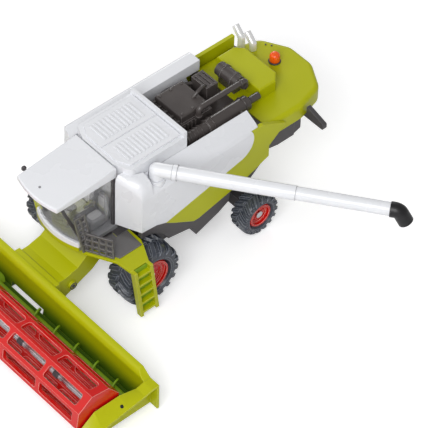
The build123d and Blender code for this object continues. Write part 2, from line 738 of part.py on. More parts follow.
BEACON_X = HOOD_REAR + BEACON_SETBACK
BEACON_Y = DECK_BOX_Y
with BuildPart() as beacon:
    with BuildSketch(Plane.XY.offset(HOOD_TOP)):
        with Locations((BEACON_X, BEACON_Y)):
            Circle(BEACON_RADIUS - 1)
    extrude(amount=BEACON_FOOT)
    with BuildSketch(Plane.XY.offset(HOOD_TOP + BEACON_FOOT)):
        with Locations((BEACON_X, BEACON_Y)):
            Circle(BEACON_RADIUS)
    extrude(amount=BEACON_HEIGHT - BEACON_FOOT)
    fillet(beacon.edges().sort_by(Axis.Z)[-1], BEACON_RADIUS * 0.8)
keep(beacon, "beacon")

EXHAUST_X = HOOD_REAR + EXHAUST_SETBACK
EXHAUST_Y = -(HOOD_HALF - HOOD_EDGE_ROUND - EXHAUST_RADIUS)
with BuildPart() as exhaust_stack:
    for pipe_x, pipe_y, pipe_height in (
        (EXHAUST_X, EXHAUST_Y, EXHAUST_HEIGHT),
        (EXHAUST_X - EXHAUST_APART, EXHAUST_Y + EXHAUST_APART, EXHAUST_SHORT),
    ):
        with BuildLine():
            FilletPolyline(
                (pipe_x, pipe_y, HOOD_TOP),
                (pipe_x, pipe_y, HOOD_TOP + pipe_height - EXHAUST_BEND),
                (pipe_x, pipe_y - EXHAUST_BEND, HOOD_TOP + pipe_height),
                radius=EXHAUST_RADIUS + 1,
            )
        with BuildSketch(Plane.XY.offset(HOOD_TOP)):
            with Locations((pipe_x, pipe_y)):
                Circle(EXHAUST_RADIUS)
        sweep()
keep(exhaust_stack, "exhaust_stack")

# Lamp arms: a bracket under the hood and a slanting arm with a rounded end on each side
LAMP_X = HOOD_REAR + LAMP_SETBACK
LAMP_FOOT = HOOD_BOTTOM - PILLAR
LAMP_REACH = HOOD_HALF + LAMP_OVERHANG
with BuildPart() as lamp_arms:
    for side_name, side in SIDES:
        with BuildSketch(Plane.YZ.offset(LAMP_X)) as arm:
            outline([
                (side * (HOOD_HALF - 10), HOOD_BOTTOM),
                (side * (HOOD_HALF + PANEL_GAP), HOOD_BOTTOM),
                (side * (HOOD_HALF + PANEL_GAP), HOOD_BOTTOM + LAMP_THICKNESS + LAMP_LIFT),
                (side * LAMP_REACH, HOOD_BOTTOM + LAMP_LIFT - LAMP_THICKNESS / 2),
                (side * LAMP_REACH, HOOD_BOTTOM + LAMP_LIFT - LAMP_THICKNESS * 2),
                (side * (HOOD_HALF + LAMP_THICKNESS), LAMP_FOOT),
                (side * (HOOD_HALF - 10), LAMP_FOOT),
            ])
            arm_end = arm.vertices().sort_by(Axis.X)[-2:] if side > 0 else arm.vertices().sort_by(Axis.X)[:2]
            fillet(arm_end, LAMP_THICKNESS / 2)
        extrude(amount=LAMP_THICKNESS)
keep(lamp_arms, "lamp_arms")

# Engine in its open bay: block with a ribbed cover, radiator box, air cleaner, muffler with its pipe
ENGINE_FRONT = TANK_REAR - ENGINE_SETBACK
ENGINE_REAR = ENGINE_FRONT - ENGINE_LENGTH
COVER_LEFT = ENGINE_WIDTH / 2 - ENGINE_OFFSET - COVER_INSET
RIB_LENGTH = ENGINE_LENGTH - COVER_LENGTH - 2 * ENGINE_SETBACK
with BuildPart() as engine_block:
    with BuildSketch(Plane.XY.offset(BAY_FLOOR)):
        with Locations((ENGINE_FRONT, -ENGINE_OFFSET)):
            Rectangle(ENGINE_LENGTH, ENGINE_WIDTH, align=(Align.MAX, Align.CENTER))
    extrude(amount=ENGINE_HEIGHT - COVER_HEIGHT)
    with BuildSketch(Plane.XY.offset(BAY_FLOOR + ENGINE_HEIGHT - COVER_HEIGHT)):
        with Locations((ENGINE_REAR + COVER_INSET, -ENGINE_OFFSET)):
            Rectangle(COVER_LENGTH, ENGINE_WIDTH - 2 * COVER_INSET, align=(Align.MIN, Align.CENTER))
    extrude(amount=COVER_HEIGHT)
    fillet(engine_block.faces().sort_by(Axis.Z)[-1].edges(), ROOF_ROUND)
    with BuildSketch(Plane.XY.offset(BAY_FLOOR + ENGINE_HEIGHT - COVER_HEIGHT)):
        with Locations((ENGINE_FRONT - ENGINE_SETBACK, -ENGINE_OFFSET)):
            with GridLocations(0, ENGINE_WIDTH / ENGINE_RIBS, 1, ENGINE_RIBS):
                Rectangle(RIB_LENGTH, VANE_THICKNESS, align=(Align.MAX, Align.CENTER))
    extrude(amount=COVER_HEIGHT / 2)
keep(engine_block, "engine_block")

RADIATOR_FRONT = ENGINE_REAR - RADIATOR_SETBACK
RADIATOR_Y = -ENGINE_OFFSET - RADIATOR_SHIFT
with BuildPart() as radiator_box:
    with BuildSketch(Plane.XY.offset(BAY_FLOOR)):
        with Locations((RADIATOR_FRONT, RADIATOR_Y)):
            Rectangle(RADIATOR_LENGTH, RADIATOR_WIDTH, align=(Align.MAX, Align.CENTER))
    extrude(amount=ENGINE_HEIGHT)
    with BuildSketch(Plane.XY.offset(BAY_FLOOR + ENGINE_HEIGHT)):
        with Locations((RADIATOR_FRONT - RADIATOR_LENGTH / 2, RADIATOR_Y)):
            with GridLocations(LID_RIB_PITCH, 0, 3, 1):
                Rectangle(LID_RIB_WIDTH, RADIATOR_WIDTH - LID_RIB_PITCH)
    extrude(amount=-LID_RIB_WIDTH, mode=Mode.SUBTRACT)
keep(radiator_box, "radiator_box")

CLEANER_Z = BAY_FLOOR + CLEANER_RADIUS + BEACON_FOOT
with BuildPart() as air_cleaner:
    with BuildSketch(Plane.YZ.offset(CLEANER_FRONT)):
        with Locations((CLEANER_Y, CLEANER_Z)):
            Circle(CLEANER_RADIUS)
    extrude(amount=-CLEANER_LENGTH)
    with BuildSketch(Plane.YZ.offset(CLEANER_FRONT)):
        with Locations((CLEANER_Y, CLEANER_Z)):
            Circle(CLEANER_RADIUS * 0.8)
    extrude(amount=CLEANER_INTAKE)
    with BuildSketch(Plane.YZ.offset(CLEANER_FRONT - CLEANER_LENGTH)):
        with Locations((CLEANER_Y, CLEANER_Z)):
            Circle(CLEANER_RADIUS / 2)
    extrude(amount=-CLEANER_NECK)
    with BuildSketch(Plane.XY.offset(BAY_FLOOR)):
        with Locations((CLEANER_FRONT - CLEANER_LENGTH / 2, CLEANER_Y)):
            Rectangle(CLEANER_LENGTH * 0.6, CLEANER_RADIUS)
    extrude(amount=CLEANER_Z - BAY_FLOOR)
keep(air_cleaner, "air_cleaner")

MUFFLER_X = DECK_BOX_FRONT + MUFFLER_RADIUS + PANEL_GAP
MUFFLER_LEFT = MUFFLER_LENGTH / 2 - ENGINE_OFFSET
MUFFLER_Z = HOOD_TOP + MUFFLER_RADIUS + MUFFLER_LIFT
PIPE_Y = COVER_LEFT + PIPE_RADIUS + PANEL_GAP
PIPE_FOOT = BAY_FLOOR + ENGINE_HEIGHT - COVER_HEIGHT
PIPE_Z = BAY_FLOOR + ENGINE_HEIGHT + PIPE_RADIUS
with BuildPart() as muffler:
    with BuildSketch(side_plane(1, MUFFLER_LEFT)):
        with Locations((MUFFLER_X, MUFFLER_Z)):
            Circle(MUFFLER_RADIUS - LID_RIB_HEIGHT)
    extrude(amount=MUFFLER_LENGTH)
    for band in range(MUFFLER_BANDS):
        with BuildSketch(side_plane(1, MUFFLER_LEFT - MUFFLER_LENGTH * (band + 0.5) / MUFFLER_BANDS)):
            with Locations((MUFFLER_X, MUFFLER_Z)):
                Circle(MUFFLER_RADIUS)
        extrude(amount=LID_RIB_WIDTH / 2, both=True)
    with BuildSketch(Plane.XY.offset(HOOD_TOP)):
        with Locations((MUFFLER_X, MUFFLER_LEFT - MUFFLER_LENGTH / 2)):
            Rectangle(MUFFLER_RADIUS, MUFFLER_LENGTH * 0.8)
    extrude(amount=MUFFLER_RADIUS + MUFFLER_LIFT)
    with BuildLine():
        FilletPolyline(
            (CLEANER_FRONT, PIPE_Y, PIPE_FOOT),
            (CLEANER_FRONT, PIPE_Y, PIPE_Z),
            (MUFFLER_X, PIPE_Y, PIPE_Z),
            (MUFFLER_X, PIPE_Y, MUFFLER_Z),
            (MUFFLER_X, MUFFLER_LEFT - 1, MUFFLER_Z),
            radius=PIPE_RADIUS + 1,
        )
    with BuildSketch(Plane.XY.offset(PIPE_FOOT)):
        with Locations((CLEANER_FRONT, PIPE_Y)):
            Circle(PIPE_RADIUS)
    sweep()
keep(muffler, "muffler")

# Cab: floor, sill, roof, pillars, glazing, seat and steering column
CAB_FRONT = SILL_X - SILL_LIP - PANEL_GAP
with BuildPart() as cab_floor:
    with BuildSketch(Plane.XY.offset(CHASSIS_TOP)):
        with BuildLine():
            Polyline(
                (CAB_FRONT, CAB_HALF), (CAB_REAR, CAB_HALF), (CAB_REAR, -CAB_HALF), (CAB_FRONT, -CAB_HALF),
            )
            ThreePointArc((CAB_FRONT, -CAB_HALF), (CAB_FRONT + SILL_BOW, 0), (CAB_FRONT, CAB_HALF))
        make_face()
    extrude(amount=CAB_FLOOR - CHASSIS_TOP)
keep(cab_floor, "cab_floor")


def bowed_strip(front, half, bow, thickness):
    """Lines round a strip across the machine that bows forward in the middle."""
    back = front - thickness
    ThreePointArc((front, -half), (front + bow, 0), (front, half))
    Line((front, half), (back, half))
    ThreePointArc((back, half), (back + bow, 0), (back, -half))
    Line((back, -half), (front, -half))


with BuildPart() as cab_sill:
    with BuildSketch(Plane.XY.offset(CAB_FLOOR)):
        with BuildLine():
            bowed_strip(SILL_X, CAB_HALF, SILL_BOW, SILL_THICKNESS)
        make_face()
    extrude(amount=SILL_TOP - CAB_FLOOR)
    with BuildSketch(Plane.XY.offset(CHASSIS_TOP)):
        with BuildLine():
            bowed_strip(SILL_X, CAB_HALF, SILL_BOW, SILL_LIP)
        make_face()
    extrude(amount=SILL_TOP - CHASSIS_TOP)
keep(cab_sill, "cab_sill")

with BuildPart() as cab_roof:
    with BuildSketch(Plane.XY.offset(ROOF_UNDER)):
        with BuildLine():
            Polyline(
                (ROOF_FRONT, ROOF_HALF), (CAB_REAR, ROOF_HALF),
                (CAB_REAR, -ROOF_HALF), (ROOF_FRONT, -ROOF_HALF),
            )
            ThreePointArc((ROOF_FRONT, -ROOF_HALF), (ROOF_FRONT + ROOF_BOW, 0), (ROOF_FRONT, ROOF_HALF))
        make_face()
    extrude(amount=ROOF_THICKNESS + ROOF_RISE)
    with BuildSketch(Plane.XZ):
        outline([
            (CAB_REAR, ROOF_UNDER + ROOF_THICKNESS + ROOF_RISE),
            (ROOF_FRONT + ROOF_BOW, ROOF_UNDER + ROOF_THICKNESS),
            (ROOF_FRONT + ROOF_BOW, ROOF_UNDER + ROOF_THICKNESS + ROOF_RISE),
        ])
    extrude(amount=ROOF_HALF, both=True, mode=Mode.SUBTRACT)
    fillet(cab_roof.faces().sort_by(Axis.Z)[-1].edges(), ROOF_ROUND)
keep(cab_roof, "cab_roof")

REAR_POST = CAB_REAR + 1
SCREEN_FOOT = SILL_X - SILL_THICKNESS - PILLAR
SCREEN_HEAD = ROOF_FRONT - ROOF_BOW
with BuildPart() as cab_pillars:
    for side_name, side in SIDES:
        with BuildSketch(side_plane(side, ROOF_HALF - PILLAR)):
            outline([
                (REAR_POST, CAB_FLOOR),
                (REAR_POST + PILLAR, CAB_FLOOR),
                (REAR_POST + PILLAR, ROOF_UNDER),
                (REAR_POST, ROOF_UNDER),
            ])
            outline([
                (SCREEN_FOOT - PILLAR, CAB_FLOOR),
                (SCREEN_FOOT, CAB_FLOOR),
                (SCREEN_HEAD, ROOF_UNDER),
                (SCREEN_HEAD - PILLAR, ROOF_UNDER),
            ])
        extrude(amount=-side * PILLAR)
keep(cab_pillars, "cab_pillars")

# Glazing: a bowed windscreen that leans forward, and a flat pane between the pillars on each side
with BuildPart() as cab_glazing:
    with BuildSketch(Plane.XY.offset(SILL_TOP)):
        with BuildLine():
            bowed_strip(SILL_X - 1, CAB_HALF - 1, SILL_BOW - 1, GLASS)
        make_face()
    with BuildSketch(Plane.XY.offset(ROOF_UNDER)):
        with BuildLine():
            bowed_strip(SCREEN_HEAD + 1, ROOF_HALF - 1, SILL_BOW - 1, GLASS)
        make_face()
    loft()
    for side_name, side in SIDES:
        with BuildSketch(side_plane(side, ROOF_HALF - (PILLAR + GLASS) / 2)):
            outline([
                (REAR_POST + PILLAR + PANEL_GAP, CAB_FLOOR),
                (SCREEN_FOOT - PILLAR - PANEL_GAP, CAB_FLOOR),
                (SCREEN_HEAD - PILLAR - PANEL_GAP, ROOF_UNDER),
                (REAR_POST + PILLAR + PANEL_GAP, ROOF_UNDER),
            ])
        extrude(amount=-side * GLASS)
keep(cab_glazing, "cab_glazing")

with BuildPart() as driver_seat:
    with BuildSketch(Plane.XY.offset(CAB_FLOOR)):
        with Locations((SEAT_X, 0)):
            Rectangle(SEAT_LENGTH * 0.65, SEAT_WIDTH * 0.7)
    extrude(amount=SEAT_BASE)
    with BuildSketch(Plane.XY.offset(CAB_FLOOR + SEAT_BASE)):
        with Locations((SEAT_X, 0)):
            RectangleRounded(SEAT_LENGTH, SEAT_WIDTH, SILL_THICKNESS)
    extrude(amount=SEAT_PAD)
    with BuildSketch(Plane.XY.offset(CAB_FLOOR + SEAT_BASE + SEAT_PAD)):
        with Locations((SEAT_X - (SEAT_LENGTH - SEAT_PAD) / 2, 0)):
            RectangleRounded(SEAT_PAD, SEAT_WIDTH - 2, SEAT_PAD / 3)
    extrude(amount=SEAT_BACK)
    back_edges = driver_seat.faces().sort_by(Axis.Z)[-1].edges()
    fillet(back_edges, SEAT_PAD / 4)
keep(driver_seat, "driver_seat")

COLUMN_X = SEAT_X + SEAT_LENGTH
with BuildPart() as steering_column:
    with BuildSketch(Plane.XZ):
        outline([
            (COLUMN_X - SILL_THICKNESS, CAB_FLOOR),
            (COLUMN_X, CAB_FLOOR),
            (COLUMN_X - LAMP_THICKNESS, CAB_FLOOR + COLUMN_HEIGHT),
            (COLUMN_X - LAMP_THICKNESS - SILL_THICKNESS, CAB_FLOOR + COLUMN_HEIGHT),
        ])
    extrude(amount=PLATE_THICKNESS, both=True)
    column_top = (COLUMN_X - LAMP_THICKNESS - SILL_THICKNESS / 2, 0, CAB_FLOOR + COLUMN_HEIGHT)
    with BuildSketch(Plane(column_top, z_dir=(-0.35, 0, 1))):
        Circle(WHEEL_RADIUS)
    extrude(amount=RIM_STEP)
keep(steering_column, "steering_column")

# Platform beside the cab with its mat and railing, a bare one on the right, and the ladder
PLATE_IN = EAR_Y + EAR_THICKNESS + PANEL_GAP
PLATE_NOSE = (PLATE_FRONT, PLATE_IN)
PLATE_CORNER = (PLATE_CORNER_X, PLATE_OUT)
PLATE_INNER = [
    (PLATE_REAR, PLATE_OUT),
    (PLATE_REAR - PLATE_THICKNESS, BODY_HALF),
    (PLATE_REAR - PLATE_THICKNESS, PANEL_IN),
    (CHASSIS_FRONT + PANEL_GAP, PANEL_IN),
    (CHASSIS_FRONT + PANEL_GAP, PLATE_IN),
]
LADDER_HEAD = LADDER_X + LADDER_LEAN
LANDING = [(LADDER_HEAD + LADDER_WIDTH, LADDER_Y - PANEL_GAP), (LADDER_HEAD, LADDER_Y - PANEL_GAP)]
for side_name, side, landing in (("left", 1, LANDING), ("right", -1, [])):
    with BuildPart() as platform:
        with BuildSketch(Plane.XY.offset(PLATE_TOP - PLATE_THICKNESS)):
            outline([(x, side * y) for x, y in [PLATE_NOSE, PLATE_CORNER, *landing, *PLATE_INNER]])
        extrude(amount=PLATE_THICKNESS)
    keep(platform, f"{side_name}_platform")

DOOR_FOOT = PLATE_FRONT - RAIL_WIDTH
with BuildPart() as platform_mat:
    with BuildSketch(Plane.XY.offset(PLATE_TOP)):
        outline([
            (PLATE_FRONT - RAIL_SETBACK, PLATE_IN + RAIL_THICKNESS + MOVE_GAP),
            (PLATE_CORNER_X - 2 * RAIL_THICKNESS - 1, PLATE_OUT - 1),
            (PLATE_REAR + 1, PLATE_OUT - 1),
            (PLATE_REAR, PANEL_IN + MOVE_GAP),
            (CHASSIS_FRONT + 1, PANEL_IN + MOVE_GAP),
            (CHASSIS_FRONT + 1, PLATE_IN + MOVE_GAP),
            (DOOR_FOOT - MOVE_GAP, PLATE_IN + MOVE_GAP),
            (DOOR_FOOT - MOVE_GAP, PLATE_IN + RAIL_THICKNESS + MOVE_GAP),
        ])
    extrude(amount=MAT_THICKNESS)
keep(platform_mat, "platform_mat")

# Railing: a low lattice along the slanting front edge and a tall one that leans forward beside the door
RAIL_RUN = Vector(PLATE_CORNER_X - PLATE_FRONT, PLATE_OUT - PLATE_IN, 0)
RAIL_LENGTH = RAIL_RUN.length - 2 * RAIL_BAR
RAIL_CELL = (RAIL_LENGTH - RAIL_BAR) / RAIL_COLUMNS
RAIL_ROW = (RAIL_HEIGHT - RAIL_BAR) / RAIL_ROWS
DOOR_ROW = (RAIL_TALL - RAIL_BAR) / DOOR_ROWS
DOOR_CELL = (RAIL_WIDTH - RAIL_BAR) / 2
with BuildPart() as railing:
    rail_root = (PLATE_FRONT - RAIL_BAR, PLATE_IN, PLATE_TOP)
    with BuildSketch(Plane(rail_root, x_dir=RAIL_RUN, z_dir=RAIL_RUN.cross(Vector(0, 0, 1)))):
        outline([(0, 0), (0, RAIL_HEIGHT), (RAIL_LENGTH - RAIL_BAR, RAIL_HEIGHT), (RAIL_LENGTH, 0)])
        for column in range(RAIL_COLUMNS):
            for row in range(RAIL_ROWS):
                middle = (RAIL_BAR / 2 + RAIL_CELL * (column + 0.5), RAIL_BAR / 2 + RAIL_ROW * (row + 0.5))
                with Locations(middle):
                    Rectangle(RAIL_CELL - RAIL_BAR, RAIL_ROW - RAIL_BAR, mode=Mode.SUBTRACT)
    extrude(amount=-RAIL_THICKNESS)
    with BuildSketch(side_plane(1, PLATE_IN)):
        outline([
            (DOOR_FOOT, PLATE_TOP),
            (PLATE_FRONT, PLATE_TOP),
            (PLATE_FRONT + RAIL_LEAN, PLATE_TOP + RAIL_TALL),
            (DOOR_FOOT + RAIL_LEAN, PLATE_TOP + RAIL_TALL),
        ])
        for column in range(2):
            for row in range(DOOR_ROWS):
                foot = PLATE_TOP + RAIL_BAR + DOOR_ROW * row
                head = foot + DOOR_ROW - RAIL_BAR
                start = DOOR_FOOT + RAIL_BAR + DOOR_CELL * column
                low = start + RAIL_LEAN * (foot - PLATE_TOP) / RAIL_TALL
                high = start + RAIL_LEAN * (head - PLATE_TOP) / RAIL_TALL
                width = DOOR_CELL - RAIL_BAR
                window = [(low, foot), (low + width, foot), (high + width, head), (high, head)]
                Polygon(*window, align=None, mode=Mode.SUBTRACT)
    extrude(amount=-RAIL_THICKNESS)
keep(railing, "platform_railing")

with BuildPart() as ladder:
    for rail_x in (0, LADDER_WIDTH - LADDER_RAIL):
        with BuildSketch(side_plane(1, LADDER_Y)):
            outline([
                (LADDER_X + rail_x, LADDER_FOOT),
                (LADDER_X + LADDER_RAIL + rail_x, LADDER_FOOT),
                (LADDER_HEAD + LADDER_RAIL + rail_x, PLATE_TOP),
                (LADDER_HEAD + rail_x, PLATE_TOP),
            ])
        extrude(amount=-LADDER_DEPTH)
    for step in range(LADDER_STEPS):
        rise = (step + 0.4) / LADDER_STEPS
        step_x = LADDER_X + LADDER_WIDTH / 2 + LADDER_LEAN * rise
        step_z = LADDER_FOOT + (PLATE_TOP - LADDER_FOOT) * rise
        with BuildSketch(side_plane(1, LADDER_Y)):
            with Locations((step_x, step_z)):
                Rectangle(LADDER_WIDTH - LADDER_RAIL, STEP_THICKNESS)
        extrude(amount=-LADDER_DEPTH)
keep(ladder, "ladder")

# Unloading tube: a turret on the left shoulder, and the stepped tube that swings on its pin
with BuildPart() as tube_turret:
    with BuildSketch(Plane.XY.offset(TURRET_TOP - TURRET_HEIGHT)):
        with Locations((TUBE_X, TUBE_Y)):
            Circle(TURRET_RADIUS)
    extrude(amount=TURRET_HEIGHT)
    with BuildSketch(Plane.XY.offset(TURRET_TOP)):
        with Locations((TUBE_X, TUBE_Y)):
            Circle(PIN_RADIUS)
    extrude(amount=TUBE_Z - TURRET_TOP - PIN_ROOF)
keep(tube_turret, "tube_turret")

TUBE_ANGLE = radians(180 - TUBE_SWING)
ALONG = Vector(cos(TUBE_ANGLE), sin(TUBE_ANGLE), 0)
TUBE_ROOT = Vector(TUBE_X, TUBE_Y, TUBE_Z)
with BuildPart() as unloading_tube:
    with BuildSketch(Plane.XY.offset(TURRET_TOP + MOVE_GAP)):
        with Locations((TUBE_X, TUBE_Y)):
            Circle(TUBE_RADIUS)
    extrude(amount=TUBE_Z - TURRET_TOP - MOVE_GAP)
    with Locations(TUBE_ROOT):
        Sphere(TUBE_RADIUS)
    for start, length, radius in (
        (0, TUBE_JOINT, TUBE_RADIUS),
        (COLLAR_START, COLLAR_LENGTH, COLLAR_RADIUS),
        (TUBE_JOINT, TUBE_LENGTH - TUBE_JOINT, TUBE_RADIUS - TUBE_STEP),
    ):
        with BuildSketch(Plane(TUBE_ROOT + ALONG * start, z_dir=ALONG)):
            Circle(radius)
        extrude(amount=length)
    with BuildSketch(Plane.XY.offset(TURRET_TOP + MOVE_GAP)):
        with Locations((TUBE_X, TUBE_Y)):
            Circle(PIN_RADIUS + RUNNING_GAP)
    extrude(amount=TUBE_Z - TURRET_TOP - PIN_ROOF, mode=Mode.SUBTRACT)
keep(unloading_tube, "unloading_tube")

SPOUT_ROOT = TUBE_ROOT + ALONG * TUBE_LENGTH
with BuildPart() as tube_spout:
    with BuildLine():
        FilletPolyline(
            SPOUT_ROOT,
            SPOUT_ROOT + ALONG * SPOUT_REACH * 0.7,
            SPOUT_ROOT + ALONG * SPOUT_REACH * 1.3 + Vector(0, 0, -SPOUT_DROP),
            radius=SPOUT_BEND,
        )
    with BuildSketch(Plane(SPOUT_ROOT, z_dir=ALONG)):
        Circle(TUBE_RADIUS + SPOUT_WALL)
    sweep()
    mouth_face = tube_spout.faces().sort_by(Axis.Z)[0]
    with BuildSketch(Plane(mouth_face)):
        Circle(TUBE_RADIUS - SPOUT_WALL)
    extrude(amount=-SPOUT_WALL * 8, mode=Mode.SUBTRACT)
keep(tube_spout, "tube_spout")

# Feeder house: a sloping channel that turns on its pin and carries the header
ADAPTER_REAR = HEADER_BACK_X - ADAPTER_THICKNESS
FEEDER_BOSS_X = ADAPTER_REAR - FEEDER_BOSS_SETBACK
FEEDER_BOSS_Z = HEADER_TOP - FEEDER_BOSS_SETBACK
with BuildPart() as feeder_house:
    with BuildSketch(Plane.XZ):
        outline([
            (FEEDER_PIVOT_X - 8, FEEDER_PIVOT_Z + 2),
            (FEEDER_PIVOT_X - 2, FEEDER_PIVOT_Z + 8),
            (FEEDER_PIVOT_X + 9, FEEDER_PIVOT_Z + 2),
            (FEEDER_PIVOT_X + 21, FEEDER_PIVOT_Z - 8),
            (ADAPTER_REAR - 7, HEADER_TOP - 2),
            (ADAPTER_REAR, HEADER_TOP - 2),
            (ADAPTER_REAR, HEADER_FLOOR + 4),
            (ADAPTER_REAR - 8, HEADER_FLOOR + 11),
            (FEEDER_PIVOT_X + 6, FEEDER_PIVOT_Z - 20),
            (FEEDER_PIVOT_X - 6, FEEDER_PIVOT_Z - 10),
        ])
        with Locations((FEEDER_PIVOT_X, FEEDER_PIVOT_Z)):
            Circle(FEEDER_PIN_RADIUS + RUNNING_GAP, mode=Mode.SUBTRACT)
    extrude(amount=FEEDER_HALF, both=True)
    for side_name, side in SIDES:
        with BuildSketch(side_plane(side, FEEDER_HALF)):
            with Locations((FEEDER_BOSS_X, FEEDER_BOSS_Z)):
                Circle(FEEDER_BOSS_RADIUS)
        extrude(amount=-side * FEEDER_BOSS_HEIGHT)
keep(feeder_house, "feeder_house")

# Header back wall: a hollow-faced wall with slanting ends, the feeder mouth and the feeder's adapter frame
INSIDE_HALF = HEADER_HALF - END_PLATE
BACK_HALF = INSIDE_HALF - PANEL_GAP
WALL_FRONT = HEADER_BACK_X + WALL_THICKNESS
FLOOR_REAR = HEADER_BACK_X + WALL_FOOT
with BuildPart() as header_back:
    with BuildSketch(Plane.XZ):
        with BuildLine():
            Polyline(
                (FLOOR_REAR, HEADER_FLOOR),
                (HEADER_BACK_X, HEADER_FLOOR),
                (HEADER_BACK_X, HEADER_TOP - PANEL_GAP),
                (HEADER_BACK_X + PANEL_GAP, HEADER_TOP),
                (WALL_FRONT - WALL_ROUND, HEADER_TOP),
            )
            TangentArc(
                (WALL_FRONT - WALL_ROUND, HEADER_TOP), (WALL_FRONT, HEADER_TOP - WALL_ROUND), tangent=(1, 0),
            )
            ThreePointArc(
                (WALL_FRONT, HEADER_TOP - WALL_ROUND),
                (WALL_FRONT - WALL_HOLLOW, (HEADER_TOP + HEADER_FLOOR) / 2),
                (FLOOR_REAR, HEADER_FLOOR),
            )
        make_face()
    extrude(amount=BACK_HALF, both=True)
    for side_name, side in SIDES:
        with BuildSketch(Plane.YZ.offset(HEADER_BACK_X)):
            outline([
                (side * (BACK_HALF - WALL_SLANT), HEADER_TOP),
                (side * BACK_HALF, END_TOP),
                (side * BACK_HALF, HEADER_TOP),
            ])
        extrude(amount=WALL_FOOT, mode=Mode.SUBTRACT)
    with BuildSketch(Plane.YZ.offset(HEADER_BACK_X)):
        with Locations((0, HEADER_FLOOR)):
            Rectangle(2 * MOUTH_HALF, MOUTH_TOP - HEADER_FLOOR, align=(Align.CENTER, Align.MIN))
    extrude(amount=WALL_FOOT, mode=Mode.SUBTRACT)
    with BuildSketch(Plane.YZ.offset(ADAPTER_REAR)):
        with Locations((0, MOUTH_TOP)):
            adapter_height = HEADER_TOP - MOUTH_TOP - 1
            Rectangle(2 * FEEDER_HALF + EAR_THICKNESS, adapter_height, align=(Align.CENTER, Align.MIN))
    extrude(amount=ADAPTER_THICKNESS)
keep(header_back, "header_back")

# Header floor with the row of knife fingers along its front edge
KNIVES = int(2 * BACK_HALF / KNIFE_PITCH) - 1
with BuildPart() as header_floor:
    with BuildSketch(Plane.XY.offset(HEADER_FLOOR)):
        with Locations((KNIFE_X, 0)):
            Rectangle(KNIFE_X - FLOOR_REAR - PANEL_GAP, 2 * BACK_HALF, align=(Align.MAX, Align.CENTER))
        for knife in range(KNIVES):
            knife_y = (knife - (KNIVES - 1) / 2) * KNIFE_PITCH
            outline([
                (KNIFE_X, knife_y - KNIFE_PITCH / 3),
                (KNIFE_X + KNIFE_LENGTH, knife_y),
                (KNIFE_X, knife_y + KNIFE_PITCH / 3),
            ])
    extrude(amount=FLOOR_THICKNESS)
keep(header_floor, "header_floor")

# End plates: an upright wall and a flange along its top that falls away outwards, drawn out to a divider


def end_plate_face(fall, depth=0.0, foot=0.0):
    """The plate's face at one distance from the middle.

    fall goes from 0 at the wall to 1 outside; depth and foot set the lines of the hollow inside its own.
    """
    outline([
        (HEADER_BACK_X + depth, HEADER_FLOOR - foot),
        (HEADER_BACK_X + depth, END_TOP - depth),
        (WALL_FRONT, END_TOP - depth),
        (END_DIP_X, END_DIP - depth),
        (END_CREST_X, END_CREST - fall * CREST_FALL - depth),
        (END_BROW_X, END_CREST - fall * BROW_FALL - depth),
        (DIVIDER_X - depth, END_TIP - depth),
        (DIVIDER_X - depth, HEADER_FLOOR - foot),
    ])


for side_name, side in SIDES:
    with BuildPart() as end_plate:
        with BuildSketch(side_plane(side, INSIDE_HALF)):
            end_plate_face(0)
        with BuildSketch(side_plane(side, HEADER_HALF)):
            end_plate_face(1)
        loft(ruled=True)
        with BuildSketch(side_plane(side, INSIDE_HALF + END_WALL)):
            end_plate_face(END_WALL / END_PLATE, END_WALL, MOVE_GAP)
        with BuildSketch(side_plane(side, HEADER_HALF)):
            end_plate_face(1, END_WALL, MOVE_GAP)
        loft(ruled=True, mode=Mode.SUBTRACT)
        for bore_x, bore_z, bore_radius in (
            (REEL_X, REEL_Z, REEL_AXLE_RADIUS),
            (AUGER_X, AUGER_Z, AUGER_AXLE_RADIUS),
        ):
            with BuildSketch(side_plane(side, INSIDE_HALF)):
                with Locations((bore_x, bore_z)):
                    Circle(bore_radius + SEAT_GAP)
            extrude(amount=-side * END_WALL, mode=Mode.SUBTRACT)
    keep(end_plate, f"{side_name}_end_plate")

for rod_name, rod_x, rod_z, rod_radius in (
    ("reel_axle", REEL_X, REEL_Z, REEL_AXLE_RADIUS),
    ("auger_axle", AUGER_X, AUGER_Z, AUGER_AXLE_RADIUS),
):
    with BuildPart() as rod:
        with BuildSketch(Plane.XZ):
            with Locations((rod_x, rod_z)):
                Circle(rod_radius)
        extrude(amount=INSIDE_HALF + END_WALL, both=True)
    keep(rod, rod_name)

